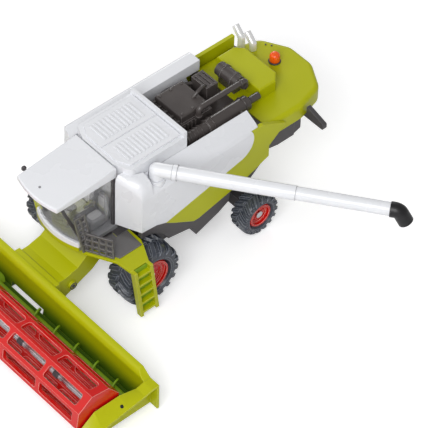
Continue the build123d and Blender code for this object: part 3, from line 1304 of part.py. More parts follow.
# Reel: an eight-sided cage of window frames with a closed disc at each end
REEL_HALF = INSIDE_HALF - END_GAP
REEL_SIDE = 2 * REEL_RADIUS * sin(radians(22.5))
with BuildPart() as reel:
    with BuildSketch(Plane.XZ):
        with Locations((REEL_X, REEL_Z)):
            RegularPolygon(REEL_RADIUS, 8, rotation=22.5 + REEL_TURN)
            RegularPolygon(REEL_RADIUS - REEL_WALL, 8, rotation=22.5 + REEL_TURN, mode=Mode.SUBTRACT)
    extrude(amount=REEL_HALF, both=True)
    for turn in range(4):
        angle = radians(45 * turn + REEL_TURN)
        face_plane = Plane((REEL_X, 0, REEL_Z), x_dir=(0, 1, 0), z_dir=(cos(angle), 0, sin(angle)))
        with BuildSketch(face_plane):
            for side_name, side in SIDES:
                with Locations((side * (REEL_MIDDLE + REEL_BAYS * REEL_BAY) / 2, 0)):
                    with GridLocations(REEL_BAY, 0, REEL_BAYS, 1):
                        RectangleRounded(REEL_BAY - REEL_BAR, REEL_SIDE - 2 * REEL_SLAT, WINDOW_ROUND)
        extrude(amount=REEL_RADIUS, both=True, mode=Mode.SUBTRACT)
    for side_name, side in SIDES:
        with BuildSketch(side_plane(side, REEL_HALF - REEL_WALL)):
            with Locations((REEL_X, REEL_Z)):
                RegularPolygon(REEL_RADIUS - REEL_WALL / 2, 8, rotation=22.5 + REEL_TURN)
                Circle(REEL_AXLE_RADIUS + RUNNING_GAP, mode=Mode.SUBTRACT)
        extrude(amount=-side * REEL_WALL)
keep(reel, "reel")

# Intake auger: a core with left-hand and right-hand flights that carry the crop to the middle
FLIGHT_LENGTH = REEL_HALF - MOUTH_HALF - 2 * FLIGHT_THICKNESS
FLIGHT_BASE = AUGER_CORE - MOVE_GAP
with BuildPart() as flight:
    with BuildLine():
        Helix(AUGER_PITCH, FLIGHT_LENGTH, FLIGHT_BASE)
    with BuildSketch(Plane((FLIGHT_BASE, 0, 0), x_dir=(1, 0, 0), z_dir=(0, 1, 0))):
        Rectangle(AUGER_RADIUS - FLIGHT_BASE, FLIGHT_THICKNESS, align=(Align.MIN, Align.CENTER))
    sweep(is_frenet=True)
with BuildPart() as auger:
    with BuildSketch(Plane.XZ):
        with Locations((AUGER_X, AUGER_Z)):
            Circle(AUGER_CORE)
    extrude(amount=REEL_HALF, both=True)
    flight_root = Location((AUGER_X, MOUTH_HALF + FLIGHT_THICKNESS, AUGER_Z), (-90, 0, 0))
    left_flight = flight.part.moved(flight_root * Location((0, 0, 0), (0, 0, AUGER_TURN)))
    add(left_flight)
    add(mirror(left_flight, about=Plane.XZ, mode=Mode.PRIVATE))
    with BuildSketch(Plane.XZ):
        with Locations((AUGER_X, AUGER_Z)):
            Circle(AUGER_AXLE_RADIUS + RUNNING_GAP)
    extrude(amount=REEL_HALF, both=True, mode=Mode.SUBTRACT)
keep(auger, "intake_auger")

# Move everything to the middle of the underside and write one file for each piece
box = Compound(children=[piece.moved(Location()) for piece in pieces]).bounding_box()
to_origin = Location((-(box.min.X + box.max.X) / 2, -(box.min.Y + box.max.Y) / 2, -box.min.Z))
for piece in pieces:
    placed = piece.moved(to_origin)
    placed.label = piece.label
    export_step(placed, f"parts/{piece.label}.step")
print("moved by", to_origin.position)
print("box", box.min, box.max)
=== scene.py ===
import math

import bpy
import numpy as np
from bpy.props import FloatProperty, FloatVectorProperty, IntProperty, PointerProperty
from mathutils import Matrix, Vector


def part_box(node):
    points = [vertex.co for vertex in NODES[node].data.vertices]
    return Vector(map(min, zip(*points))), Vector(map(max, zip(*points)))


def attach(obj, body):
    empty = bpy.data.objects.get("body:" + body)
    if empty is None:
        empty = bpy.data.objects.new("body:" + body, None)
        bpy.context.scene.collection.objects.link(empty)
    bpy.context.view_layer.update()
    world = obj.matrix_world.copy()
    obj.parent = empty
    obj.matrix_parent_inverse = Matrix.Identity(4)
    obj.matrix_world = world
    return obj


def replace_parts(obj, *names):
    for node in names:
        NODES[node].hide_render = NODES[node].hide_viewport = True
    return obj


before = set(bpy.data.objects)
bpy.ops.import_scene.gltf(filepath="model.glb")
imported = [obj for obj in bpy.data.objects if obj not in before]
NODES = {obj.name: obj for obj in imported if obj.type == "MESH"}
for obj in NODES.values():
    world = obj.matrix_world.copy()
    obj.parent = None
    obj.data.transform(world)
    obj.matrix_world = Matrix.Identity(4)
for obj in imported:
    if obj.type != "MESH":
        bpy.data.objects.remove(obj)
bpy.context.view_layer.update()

bl_info = {
    "name": "Toy combine harvester looks",
    "version": (1, 0, 0),
    "blender": (4, 5, 0),
    "location": "View3D > Sidebar > Combine",
    "description": "Dresses the packed toy combine harvester with paint, trim and a studio stage",
    "category": "Object",
}

MM = 0.001
TURN = 2.0 * math.pi
AHEAD, LEFT, UP = (1, 0, 0), (0, 1, 0), (0, 0, 1)
SIDES = (1, -1)
WHITE = (1.0, 1.0, 1.0, 1.0)


def middle(node):
    """The middle of a CAD node's box, in metres."""
    low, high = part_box(node)
    return (low + high) / 2


FRONT_AXLE = middle("front_axle")
ZERO = np.array((FRONT_AXLE.x, FRONT_AXLE.y, 0.0))


def spot(x, y, z):
    """A point given in millimetres ahead of the front axle, left of the middle and above the floor."""
    return ZERO + np.array((x, y, z)) * MM


# Settings

def colour(name, text, rgb):
    """A colour setting with its default in linear red, green and blue."""
    return FloatVectorProperty(name=name, description=text, subtype="COLOR", size=3, min=0.0, max=1.0,
                               default=rgb)


def length(name, text, value):
    """A length setting in metres."""
    return FloatProperty(name=name, description=text, unit="LENGTH", subtype="DISTANCE", min=0.0, default=value)


def power(name, text, value):
    """A lamp's power in watts."""
    return FloatProperty(name=name, description=text, unit="POWER", default=value)


class CombinePaint(bpy.types.PropertyGroup):
    """Colours of the toy's paints and plastics."""
    white: colour("White paint", "Paint of tank, side panels, roof and tube", (0.80, 0.81, 0.84))
    lime: colour("Lime paint", "Paint of hood, lower panels and header", (0.45, 0.47, 0.002))
    red: colour("Red plastic", "Gloss plastic of reel and rims", (0.60, 0.007, 0.005))
    auger: colour("Auger paint", "Greener paint of the intake auger", (0.22, 0.38, 0.020))
    # Painted shade: the trough colour is what the header's paint turns to towards the bottom of the trough, where
    # shade falls.
    trough: colour("Trough shade", "Paint at the bottom of the header's trough", (0.055, 0.13, 0.006))
    dark: colour("Dark plastic", "Satin plastic of chassis, skirts and chopper", (0.060, 0.055, 0.058))
    engine: colour("Engine plastic", "Brown-grey plastic of the engine bay", (0.066, 0.056, 0.053))
    mat: colour("Mat plastic", "Satin plastic of the platform's mat and railing", (0.112, 0.107, 0.106))
    cabin: colour("Cabin plastic", "Mid-grey plastic inside the cab", (0.23, 0.23, 0.24))
    pale: colour("Pale plastic", "Pale plastic of the seat's cushions", (0.50, 0.50, 0.51))
    tyre: colour("Tyre rubber", "Blue-grey rubber of the tyres", (0.040, 0.046, 0.060))
    black: colour("Black rubber", "Soft plastic of the tube's spout", (0.006, 0.006, 0.007))
    orange: colour("Orange plastic", "Clear orange plastic of the beacon", (0.85, 0.11, 0.008))
    steel: colour("Steel", "Bright steel of the rods", (0.62, 0.62, 0.64))


class CombineTrim(bpy.types.PropertyGroup):
    """Sizes of the small pieces that the looks add."""
    clamp_length: length("Clamp length", "Length of a dark clamp on the reel axle", 0.0058)
    clamp_radius: length("Clamp radius", "Radius of a dark clamp on the reel axle", 0.0031)
    bolt_radius: length("Bolt radius", "Radius of a wheel bolt's head", 0.0009)
    bolts: IntProperty(name="Wheel bolts", description="Bolts round each hub", default=6, min=3, max=16)
    bay_ribs: IntProperty(name="Engine ribs", description="Ribs along the engine's left side", default=7,
                          min=2, max=12)


class CombineStage(bpy.types.PropertyGroup):
    """Floor, light and camera."""
    floor: colour("Floor", "Colour of the floor", (0.86, 0.86, 0.87))
    glow: FloatProperty(name="Floor glow", description="White that the camera sees on top of the lit floor",
                        default=0.38)
    far_glow: FloatProperty(name="Far glow", description="The same white far from the toy", default=0.68)
    sky: FloatProperty(name="Sky light", description="Strength of the light from all round", default=0.40)
    key: power("Key light", "Power of the large lamp", 22.0)
    fill: power("Fill light", "Power of the second lamp", 4.0)
    rim: power("Rim light", "Power of the lamp behind", 5.0)
    lens: FloatProperty(name="Lens", description="Focal length in millimetres", unit="CAMERA", default=252.3)


# Shader groups

COLOUR, NUMBER = "NodeSocketColor", "NodeSocketFloat"
GREY = (0.5, 0.5, 0.5, 1.0)
BEVEL_SAMPLES = 6


def node(tree, kind, **values):
    """A new shader node with some of its settings or inputs given."""
    made = tree.nodes.new(kind)
    for key, value in values.items():
        if hasattr(made, key):
            setattr(made, key, value)
        else:
            made.inputs[key.replace("_", " ").title()].default_value = value
    return made


def put(made, values):
    """Sets the inputs of a shader node by name."""
    for key, value in values.items():
        made.inputs[key].default_value = value


def start_group(name, outputs, inputs):
    """A new shader group with sockets (name, kind) out and (name, kind, default) in.
    Gives the group, its link maker and its input and output nodes."""
    tree = bpy.data.node_groups.new(name, "ShaderNodeTree")
    for label, kind, value in inputs:
        socket = tree.interface.new_socket(name=label, in_out="INPUT", socket_type=kind)
        socket.default_value = value
    for label, kind in outputs:
        tree.interface.new_socket(name=label, in_out="OUTPUT", socket_type=kind)
    return tree, tree.links.new, node(tree, "NodeGroupInput"), node(tree, "NodeGroupOutput")


def paint_group():
    """Sprayed paint: a slow change of tone, a fine orange peel height and a roughness that drifts a little."""
    tree, link, given, result = start_group(
        "sprayed_paint",
        [("Colour", COLOUR), ("Roughness", NUMBER), ("Height", NUMBER)],
        [("Paint", COLOUR, GREY), ("Deep", COLOUR, GREY), ("Gloss Low", NUMBER, 0.22), ("Gloss High", NUMBER, 0.36),
         ("Tone Scale", NUMBER, 30.0), ("Peel Scale", NUMBER, 1500.0)],
    )
    where = node(tree, "ShaderNodeTexCoord")
    tone = node(tree, "ShaderNodeTexNoise", detail=3.0)
    peel = node(tree, "ShaderNodeTexNoise", detail=2.0)
    mix = node(tree, "ShaderNodeMix", data_type="RGBA")
    drift = node(tree, "ShaderNodeMapRange")
    soft = node(tree, "ShaderNodeMapRange", from_min=0.25, from_max=0.75)
    link(where.outputs["Object"], tone.inputs["Vector"])
    link(where.outputs["Object"], peel.inputs["Vector"])
    link(given.outputs["Tone Scale"], tone.inputs["Scale"])
    link(given.outputs["Peel Scale"], peel.inputs["Scale"])
    link(tone.outputs["Fac"], soft.inputs["Value"])
    link(soft.outputs["Result"], mix.inputs["Factor"])
    link(given.outputs["Deep"], mix.inputs["A"])
    link(given.outputs["Paint"], mix.inputs["B"])
    link(tone.outputs["Fac"], drift.inputs["Value"])
    link(given.outputs["Gloss Low"], drift.inputs["To Min"])
    link(given.outputs["Gloss High"], drift.inputs["To Max"])
    link(mix.outputs["Result"], result.inputs["Colour"])
    link(drift.outputs["Result"], result.inputs["Roughness"])
    link(peel.outputs["Fac"], result.inputs["Height"])
    return tree


def mould_group():
    """Moulded plastic: fine grain pits over faint flow marks that shift the tone and the roughness."""
    tree, link, given, result = start_group(
        "moulded_plastic",
        [("Colour", COLOUR), ("Roughness", NUMBER), ("Height", NUMBER)],
        [("Plastic", COLOUR, GREY), ("Pale", COLOUR, GREY), ("Rough Low", NUMBER, 0.38), ("Rough High", NUMBER, 0.58),
         ("Grain Scale", NUMBER, 2600.0), ("Flow Scale", NUMBER, 60.0)],
    )
    where = node(tree, "ShaderNodeTexCoord")
    grain = node(tree, "ShaderNodeTexVoronoi", feature="F1")
    flow = node(tree, "ShaderNodeTexNoise", detail=4.0)
    mix = node(tree, "ShaderNodeMix", data_type="RGBA")
    tone = node(tree, "ShaderNodeMapRange", from_min=0.35, from_max=0.85)
    rough = node(tree, "ShaderNodeMapRange")
    link(where.outputs["Object"], grain.inputs["Vector"])
    link(where.outputs["Object"], flow.inputs["Vector"])
    link(given.outputs["Grain Scale"], grain.inputs["Scale"])
    link(given.outputs["Flow Scale"], flow.inputs["Scale"])
    link(flow.outputs["Fac"], tone.inputs["Value"])
    link(tone.outputs["Result"], mix.inputs["Factor"])
    link(given.outputs["Plastic"], mix.inputs["A"])
    link(given.outputs["Pale"], mix.inputs["B"])
    link(flow.outputs["Fac"], rough.inputs["Value"])
    link(given.outputs["Rough Low"], rough.inputs["To Min"])
    link(given.outputs["Rough High"], rough.inputs["To Max"])
    link(mix.outputs["Result"], result.inputs["Colour"])
    link(rough.outputs["Result"], result.inputs["Roughness"])
    link(grain.outputs["Distance"], result.inputs["Height"])
    return tree


def depth_group():
    """A colour that goes from one at a low height to another at a high one, by the object's own Z. It carries the
    painted shade in the header's trough and the two-tone line of the cab's sill.
    """
    tree, link, given, result = start_group(
        "depth_shade",
        [("Colour", COLOUR)],
        [("Foot", COLOUR, GREY), ("Top", COLOUR, GREY), ("Low", NUMBER, 0.0), ("High", NUMBER, 0.03)],
    )
    where = node(tree, "ShaderNodeTexCoord")
    parts = node(tree, "ShaderNodeSeparateXYZ")
    rise = node(tree, "ShaderNodeMapRange", interpolation_type="SMOOTHSTEP")
    mix = node(tree, "ShaderNodeMix", data_type="RGBA")
    link(where.outputs["Object"], parts.inputs["Vector"])
    link(parts.outputs["Z"], rise.inputs["Value"])
    link(given.outputs["Low"], rise.inputs["From Min"])
    link(given.outputs["High"], rise.inputs["From Max"])
    link(rise.outputs["Result"], mix.inputs["Factor"])
    link(given.outputs["Foot"], mix.inputs["A"])
    link(given.outputs["Top"], mix.inputs["B"])
    link(mix.outputs["Result"], result.inputs["Colour"])
    return tree


def edge_highlight_group():
    """Painted highlights along moulding edges: near a sharp edge the rounded normal leaves the surface's own, and the
    colour goes pale as the cosine between the two falls."""
    tree, link, given, result = start_group(
        "pale_edges",
        [("Colour", COLOUR)],
        [("Colour", COLOUR, GREY), ("Edge", COLOUR, GREY), ("Width", NUMBER, 0.0008), ("Amount", NUMBER, 0.7)],
    )
    rounded = node(tree, "ShaderNodeBevel", samples=BEVEL_SAMPLES)
    flat = node(tree, "ShaderNodeNewGeometry")
    turn = node(tree, "ShaderNodeVectorMath", operation="DOT_PRODUCT")
    mask = node(tree, "ShaderNodeMapRange", from_min=0.985, from_max=0.86)
    mix = node(tree, "ShaderNodeMix", data_type="RGBA")
    link(given.outputs["Width"], rounded.inputs["Radius"])
    link(rounded.outputs["Normal"], turn.inputs[0])
    link(flat.outputs["Normal"], turn.inputs[1])
    link(turn.outputs["Value"], mask.inputs["Value"])
    link(given.outputs["Amount"], mask.inputs["To Max"])
    link(mask.outputs["Result"], mix.inputs["Factor"])
    link(given.outputs["Colour"], mix.inputs["A"])
    link(given.outputs["Edge"], mix.inputs["B"])
    link(mix.outputs["Result"], result.inputs["Colour"])
    return tree


MAKERS = {"paint": paint_group, "mould": mould_group, "depth": depth_group, "edge": edge_highlight_group}
GROUPS = {}


def group(kind):
    """The shared shader group of that kind, built once."""
    if kind not in GROUPS:
        GROUPS[kind] = MAKERS[kind]()
    return GROUPS[kind]


# Materials. Lengths here are metres.

EDGE = 0.0005
SOFT_LIME = {"gloss": (0.26, 0.40), "shine": 0.25, "coat": 0.05}
# The painted shade in the header's trough fades out between these two heights.
TROUGH_SHADE_HEIGHTS = (0.004, 0.025)
SILL_HEIGHTS = (0.0640, 0.0646)
# The chrome's colour: as the base of a less than half metallic shader, its white diffuse share is a painted reflection
# of white surroundings.
PLATE_WITH_PAINTED_REFLECTION = (0.95, 0.95, 0.96)
CLEAR = (0.95, 0.96, 0.97, 1.0)
# Painted highlights: the edges of each finish turn towards a pale colour that stands in for light caught by the edges.
PAINTED_EDGE_HIGHLIGHTS = {  # finish: colour of the edge, share of that colour, width
    "red": ((1.00, 0.52, 0.45), 0.9, 0.0008),
    "lime": ((0.74, 0.76, 0.08), 0.7, 0.0006),
    "trough": ((0.70, 0.72, 0.07), 0.6, 0.0006),
    "engine": ((0.42, 0.39, 0.38), 0.7, 0.0005),
    "mat": ((0.50, 0.48, 0.48), 0.7, 0.0005),
    "dark": ((0.24, 0.23, 0.24), 0.6, 0.0005),
    "tyre": ((0.34, 0.36, 0.41), 0.9, 0.0010),
}


def four(rgb, by=1.0):
    """A colour with alpha, scaled by a factor and kept below one."""
    return tuple(min(1.0, channel * by) for channel in rgb) + (1.0,)


def shader_of(material):
    """The Principled shader of a material."""
    return material.node_tree.nodes["Principled BSDF"]


def placed_group(tree, kind, values):
    """A shared group in a material, with its own values."""
    made = node(tree, "ShaderNodeGroup")
    made.node_tree = group(kind)
    put(made, values)
    return made


def base_material(name, slot, edge, strength, distance):
    """A material whose shader rounds sharp edges and takes a bump, and the slot it stands for."""
    made = bpy.data.materials.new(name)
    made.use_nodes = True
    made["slot"] = slot
    tree = made.node_tree
    rounded = node(tree, "ShaderNodeBevel", samples=BEVEL_SAMPLES, radius=edge)
    bump = node(tree, "ShaderNodeBump", strength=strength, distance=distance)
    tree.links.new(rounded.outputs["Normal"], bump.inputs["Normal"])
    tree.links.new(bump.outputs["Normal"], shader_of(made).inputs["Normal"])
    return made, tree, bump


def grouped_material(name, slot, kind, values, strength, distance, edge=EDGE):
    """A material whose colour, roughness and height come from a shared group with its own values."""
    made, tree, bump = base_material(name, slot, edge, strength, distance)
    effect = placed_group(tree, kind, values)
    tree.links.new(effect.outputs["Colour"], shader_of(made).inputs["Base Color"])
    tree.links.new(effect.outputs["Roughness"], shader_of(made).inputs["Roughness"])
    tree.links.new(effect.outputs["Height"], bump.inputs["Height"])
    return made


def paint_material(name, slot, rgb, gloss=(0.22, 0.34), edge=EDGE, shine=0.5, coat=0.25):
    """Sprayed gloss paint of one colour."""
    values = {"Paint": four(rgb), "Deep": four(rgb, 0.97), "Gloss Low": gloss[0], "Gloss High": gloss[1]}
    made = grouped_material(name, slot, "paint", values, 0.06, 0.0004, edge)
    put(shader_of(made), {"Specular IOR Level": shine, "Coat Weight": coat, "Coat Roughness": 0.12})
    return made


def two_tone_and_painted_shade_material(name, slot, rgb, foot, heights):
    """Gloss paint that goes over to another colour between two heights above the floor: painted shade towards the
    bottom of the header's trough, and a two-tone line at the foot of the cab's sill.
    """
    made = paint_material(name, slot, rgb, **SOFT_LIME)
    tree = made.node_tree
    values = {"Foot": four(foot), "Top": four(rgb), "Low": heights[0], "High": heights[1]}
    shade = placed_group(tree, "depth", values)
    paint = next(n for n in tree.nodes if n.type == "GROUP" and n.node_tree == group("paint"))
    tree.links.new(shade.outputs["Colour"], paint.inputs["Paint"])
    tree.links.new(shade.outputs["Colour"], paint.inputs["Deep"])
    return made


def plastic_material(name, slot, rgb, rough=(0.38, 0.56), grain=2600.0, strength=0.12, edge=EDGE):
    """Moulded plastic of one colour with a fine grain."""
    values = {"Plastic": four(rgb), "Pale": four(rgb, 1.18), "Rough Low": rough[0], "Rough High": rough[1],
              "Grain Scale": grain}
    return grouped_material(name, slot, "mould", values, strength, 0.0003, edge)


def metal_material(name, slot, rgb, rough, metallic=1.0):
    """Bare metal: the moulded grain at a larger size on a metallic shader."""
    values = {"Plastic": four(rgb), "Pale": four(rgb, 1.12), "Rough Low": rough[0], "Rough High": rough[1],
              "Grain Scale": 900.0}
    made = grouped_material(name, slot, "mould", values, 0.05, 0.0002)
    put(shader_of(made), {"Metallic": metallic})
    return made


def glass_material(name, slot):
    """Clear moulded glazing: mostly see-through, with a faint ripple in its gloss."""
    made, tree, bump = base_material(name, slot, EDGE, 0.03, 0.0006)
    ripple = node(tree, "ShaderNodeTexNoise", scale=45.0, detail=1.0)
    where = node(tree, "ShaderNodeTexCoord")
    tree.links.new(where.outputs["Object"], ripple.inputs["Vector"])
    tree.links.new(ripple.outputs["Fac"], bump.inputs["Height"])
    put(shader_of(made), {"Base Color": CLEAR, "Roughness": 0.03, "IOR": 1.45, "Transmission Weight": 1.0,
                          "Alpha": 0.16})
    return made


def beacon_material(name, slot, rgb):
    """Clear orange plastic: moulded grain on a shader that lets some light through."""
    made = plastic_material(name, slot, rgb, (0.14, 0.24), 1200.0, 0.10)
    put(shader_of(made), {"Subsurface Weight": 0.4, "Subsurface Radius": (0.004, 0.0012, 0.0003)})
    return made


def pale_edges(made, rgb, amount, width):
    """Puts the shared painted edge highlights between a material's colour and its shader."""
    tree = made.node_tree
    base = shader_of(made).inputs["Base Color"]
    before = base.links[0].from_socket
    edge = placed_group(tree, "edge", {"Edge": four(rgb), "Amount": amount, "Width": width})
    tree.links.new(before, edge.inputs["Colour"])
    tree.links.new(edge.outputs["Colour"], base)


FINISHES = {}


def finishes():
    """All materials by finish, made once from the paint settings."""
    if FINISHES:
        return FINISHES
    tint = bpy.context.scene.combine_paint
    FINISHES.update(
        white=paint_material("white_paint", "white_plastic", tint.white),
        lime=paint_material("lime_paint", "lime_plastic", tint.lime, **SOFT_LIME),
        # The trough finish paints shade into the lime towards the bottom of the header's trough.
        trough=two_tone_and_painted_shade_material("trough_paint", "lime_plastic", tint.lime, tint.trough, TROUGH_SHADE_HEIGHTS),
        sill=two_tone_and_painted_shade_material("sill_paint", "white_plastic", tint.white, tint.lime, SILL_HEIGHTS),
        auger=paint_material("auger_paint", "lime_plastic", tint.auger, (0.24, 0.38), 0.0006, 0.3, 0.1),
        red=paint_material("red_gloss", "red_plastic", tint.red, (0.12, 0.20), 0.0012, 0.35, 0.1),
        dark=plastic_material("dark_satin", "dark_plastic", tint.dark),
        engine=plastic_material("engine_satin", "dark_plastic", tint.engine, (0.18, 0.30), strength=0.06, edge=0.0009),
        mat=plastic_material("mat_satin", "dark_plastic", tint.mat, (0.15, 0.26), strength=0.04, edge=0.0009),
        cabin=plastic_material("cabin_grey", "dark_plastic", tint.cabin),
        seat=plastic_material("seat_grey", "seat_plastic", tint.cabin, (0.45, 0.65), 1400.0, 0.25),
        pale=plastic_material("seat_pale", "seat_plastic", tint.pale, (0.36, 0.52), 1400.0, 0.15),
        tyre=plastic_material("tyre_rubber", "tyre", tint.tyre, (0.22, 0.36), 1800.0, 0.08, 0.0003),
        black=plastic_material("black_soft", "black_rubber", tint.black, (0.30, 0.46)),
        steel=metal_material("steel_rod", "steel", tint.steel, (0.20, 0.34)),
        # The plate is 0.45 metallic; the rest is white diffuse paint, a painted reflection of the white surroundings.
        chrome=metal_material("bright_plate", "chrome", PLATE_WITH_PAINTED_REFLECTION, (0.14, 0.24), 0.45),
        glass=glass_material("clear_glazing", "glass"),
        orange=beacon_material("orange_clear", "orange_plastic", tint.orange),
    )
    # Every finish in the table gets its painted edge highlights.
    for finish, values in PAINTED_EDGE_HIGHLIGHTS.items():
        pale_edges(FINISHES[finish], *values)
    return FINISHES


def paint_nodes(finish, names):
    """Puts one finish on the material slots of the named CAD nodes."""
    material = finishes()[finish]
    for name in names:
        data = NODES[name].data
        data.materials.clear()
        data.materials.append(material)


# Shapes. Each gives points in metres and faces. Sizes are given in millimetres.

def quads(rows, columns, close_rows=False, close_columns=True):
    """Four-cornered faces of a grid of points, row by row, closed round where asked."""
    r = np.arange(rows if close_rows else rows - 1)
    c = np.arange(columns if close_columns else columns - 1)
    i, j = np.meshgrid(r, c, indexing="ij")
    i2, j2 = (i + 1) % rows, (j + 1) % columns
    corners = np.stack((i * columns + j, i * columns + j2, i2 * columns + j2, i2 * columns + j), -1)
    return corners.reshape(-1, 4)


def add_piece(name, shape, finish, body="machine", smooth=40.0):
    """Puts a shape into a mesh at the origin, with its finish, slot and body."""
    points, faces = shape
    mesh = bpy.data.meshes.new(name)
    mesh.from_pydata(points.tolist(), [], faces)
    mesh.polygons.foreach_set("use_smooth", np.ones(len(mesh.polygons), bool))
    mesh.set_sharp_from_angle(angle=math.radians(smooth))
    mesh.update()
    made = bpy.data.objects.new(name, mesh)
    bpy.context.scene.collection.objects.link(made)
    mesh.materials.append(finishes()[finish])
    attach(made, body)
    finishes()[finish]["slot"]
    return made


def cross_ways(axis):
    """Two directions square to an axis and to each other, and the axis itself at length one."""
    axis = Vector(axis).normalized()
    one = axis.orthogonal().normalized()
    return np.array(one), np.array(axis.cross(one)), np.array(axis)


def round_about(count):
    """Angles all the way round, without the last that meets the first."""
    return np.linspace(0.0, TURN, count, endpoint=False)


def capped(rows, columns):
    """Faces of a grid that is closed round its columns, with one face over each end row."""
    faces = quads(rows, columns).tolist()
    faces.append(list(range(columns))[::-1])
    faces.append(list(range((rows - 1) * columns, rows * columns)))
    return faces


def turned(profile, base, axis, sides):
    """A turned shape: each (radius, height) of the profile goes round the axis through base, a point in metres.
    Point = base + axis * height + radius * (cos angle * one cross way + sin angle * the other)."""
    one, other, along = cross_ways(axis)
    profile = np.asarray(profile, float) * MM
    angle = round_about(sides)[:, None]
    circle = np.cos(angle) * one + np.sin(angle) * other
    points = base + profile[:, 1, None, None] * along + profile[:, 0, None, None] * circle
    return points.reshape(-1, 3), capped(len(profile), sides)


def ring(base, axis, radius, thickness, sides=48, around=10):
    """A ring with a round section about a point in metres: angle a goes round the ring and b round the section.
    Point = base + (radius + thickness cos b) (cos a one cross way + sin a the other) + thickness sin b axis."""
    one, other, along = cross_ways(axis)
    a = round_about(sides)[None, :, None]
    b = round_about(around)[:, None, None]
    reach = (radius + thickness * np.cos(b)) * MM
    points = base + reach * (np.cos(a) * one + np.sin(a) * other) + thickness * MM * np.sin(b) * along
    return points.reshape(-1, 3), quads(around, sides, True, True).tolist()


def bow(corners, steps=28):
    """A smooth path in metres from the first corner to the last, drawn towards the corners between them.
    Point(t) = sum of the corners weighted by binomial(n, k) t^k (1 - t)^(n - k)."""
    corners = np.array([spot(*corner) for corner in corners])
    n = len(corners) - 1
    k = np.arange(n + 1)
    t = np.linspace(0.0, 1.0, steps)[:, None]
    weight = np.array([math.comb(n, i) for i in k]) * t ** k * (1.0 - t) ** (n - k)
    return weight @ corners


def pipe(path, radius, sides=16):
    """A round bar of one radius along a path in metres: at each path point a circle stands square to it.
    Point = path + radius (cos angle * one cross way + sin angle * the other)."""
    along = np.gradient(path, axis=0)
    along /= np.linalg.norm(along, axis=1, keepdims=True)
    chord = path[-1] - path[0]
    one = np.cross(along, cross_ways(chord)[0])
    one /= np.linalg.norm(one, axis=1, keepdims=True)
    other = np.cross(along, one)
    angle = round_about(sides)[None, :, None]
    points = path[:, None] + radius * MM * (np.cos(angle) * one[:, None] + np.sin(angle) * other[:, None])
    return points.reshape(-1, 3), capped(len(path), sides)


PILLOW_SQUARE = 0.28
PILLOW_POLE = 1.54


def pillow(centre, size, square=PILLOW_SQUARE, rows=16, sides=40):
    """A block with soft edges: a ball whose sines and cosines are raised to a small power.
    Point = centre + size / 2 * (c(a) c(b), s(a) c(b), s(b)) with signed powers c and s."""
    a = np.linspace(-math.pi, math.pi, sides, endpoint=False)[None, :]
    b = np.linspace(-PILLOW_POLE, PILLOW_POLE, rows)[:, None]

    def soft(value):
        return np.sign(value) * np.abs(value) ** square

    x = soft(np.cos(a)) * soft(np.cos(b))
    y = soft(np.sin(a)) * soft(np.cos(b))
    z = soft(np.sin(b)) * np.ones_like(a)
    points = spot(*centre) + np.stack((x, y, z), -1) * np.asarray(size, float) / 2 * MM
    return points.reshape(-1, 3), capped(rows, sides)


def joined(*shapes):
    """Several shapes as one: their points in a row, and each shape's faces counted on."""
    points = np.concatenate([shape[0] for shape in shapes])
    starts = np.cumsum([0] + [len(shape[0]) for shape in shapes[:-1]])
    return points, [[c + int(k) for c in face] for (_, faces), k in zip(shapes, starts) for face in faces]


def copies(profile, axis, places, sides):
    """One turned shape at many places: each place is added to every point, and the faces count on."""
    points, faces = turned(profile, np.zeros(3), axis, sides)
    places = np.array([spot(*place) for place in places])
    many = (places[:, None, :] + points[None, :, :]).reshape(-1, 3)
    step = len(points)
    return many, [[corner + step * k for corner in face] for k in range(len(places)) for face in faces]


# The cap on the left shoulder, as (Y, X) and (Y, Z) along its width.
CAP_Y = (26.6, 47.9)
CAP_FRONT = ((26.5, 8.45), (48.0, -1.35))
CAP_REAR = ((26.5, 0.6), (33.0, -6.0), (35.0, -13.2), (48.0, -13.2))
CAP_FOOT = ((26.5, 113.9), (33.2, 113.9), (44.0, 108.0), (46.0, 106.7), (47.4, 104.6), (48.0, 101.8))
CAP_CREST = ((26.5, 121.5), (33.0, 119.5), (38.0, 118.3), (43.0, 116.4), (45.6, 113.6), (47.0, 110.2),
             (48.0, 103.0))
CAP_BOTTOM = 98.0
CAP_TUCK = 0.3
CAP_ROUND = 0.5
CAP_FALL = 0.12


def shoulder_cap(rows=30, columns=40):
    """The rounded cap on the left shoulder beside the cab, over lines that run back from the panel's front edge.
    X = front(Y) + (rear(Y) - front(Y)) v and Z = foot(Y) + (crest(Y) - foot(Y)) * quarter ellipse of v."""
    y = np.linspace(*CAP_Y, columns)
    front, rear, foot, crest = (np.interp(y, *zip(*line)) for line in (CAP_FRONT, CAP_REAR, CAP_FOOT, CAP_CREST))
    v = np.linspace(0.0, 1.0, rows)[:, None]
    ellipse = np.sqrt(1.0 - np.clip(1.0 - v / CAP_ROUND, 0.0, 1.0) ** 2)
    rise = ellipse - CAP_FALL * np.clip(v - CAP_ROUND, 0.0, 1.0)
    x = front + (rear - front) * v
    z = foot + (crest - foot) * rise
    low = np.full_like(y, CAP_BOTTOM)
    x = np.vstack((x[:1] - CAP_TUCK, x, x[-1:]))
    z = np.vstack((low, z, low))
    points = ZERO + np.stack((x, np.broadcast_to(y, x.shape), z), -1) * MM
    rows, columns = x.shape
    faces = quads(rows, columns, True, False)[:, ::-1].tolist()
    faces.append([row * columns for row in range(rows)][::-1])
    faces.append([row * columns + columns - 1 for row in range(rows)])
    return points.reshape(-1, 3), faces


def eased(value):
    """Nought below nought, one above one and a soft step of 3 v^2 - 2 v^3 between them."""
    value = np.clip(value, 0.0, 1.0)
    return value * value * (3.0 - 2.0 * value)


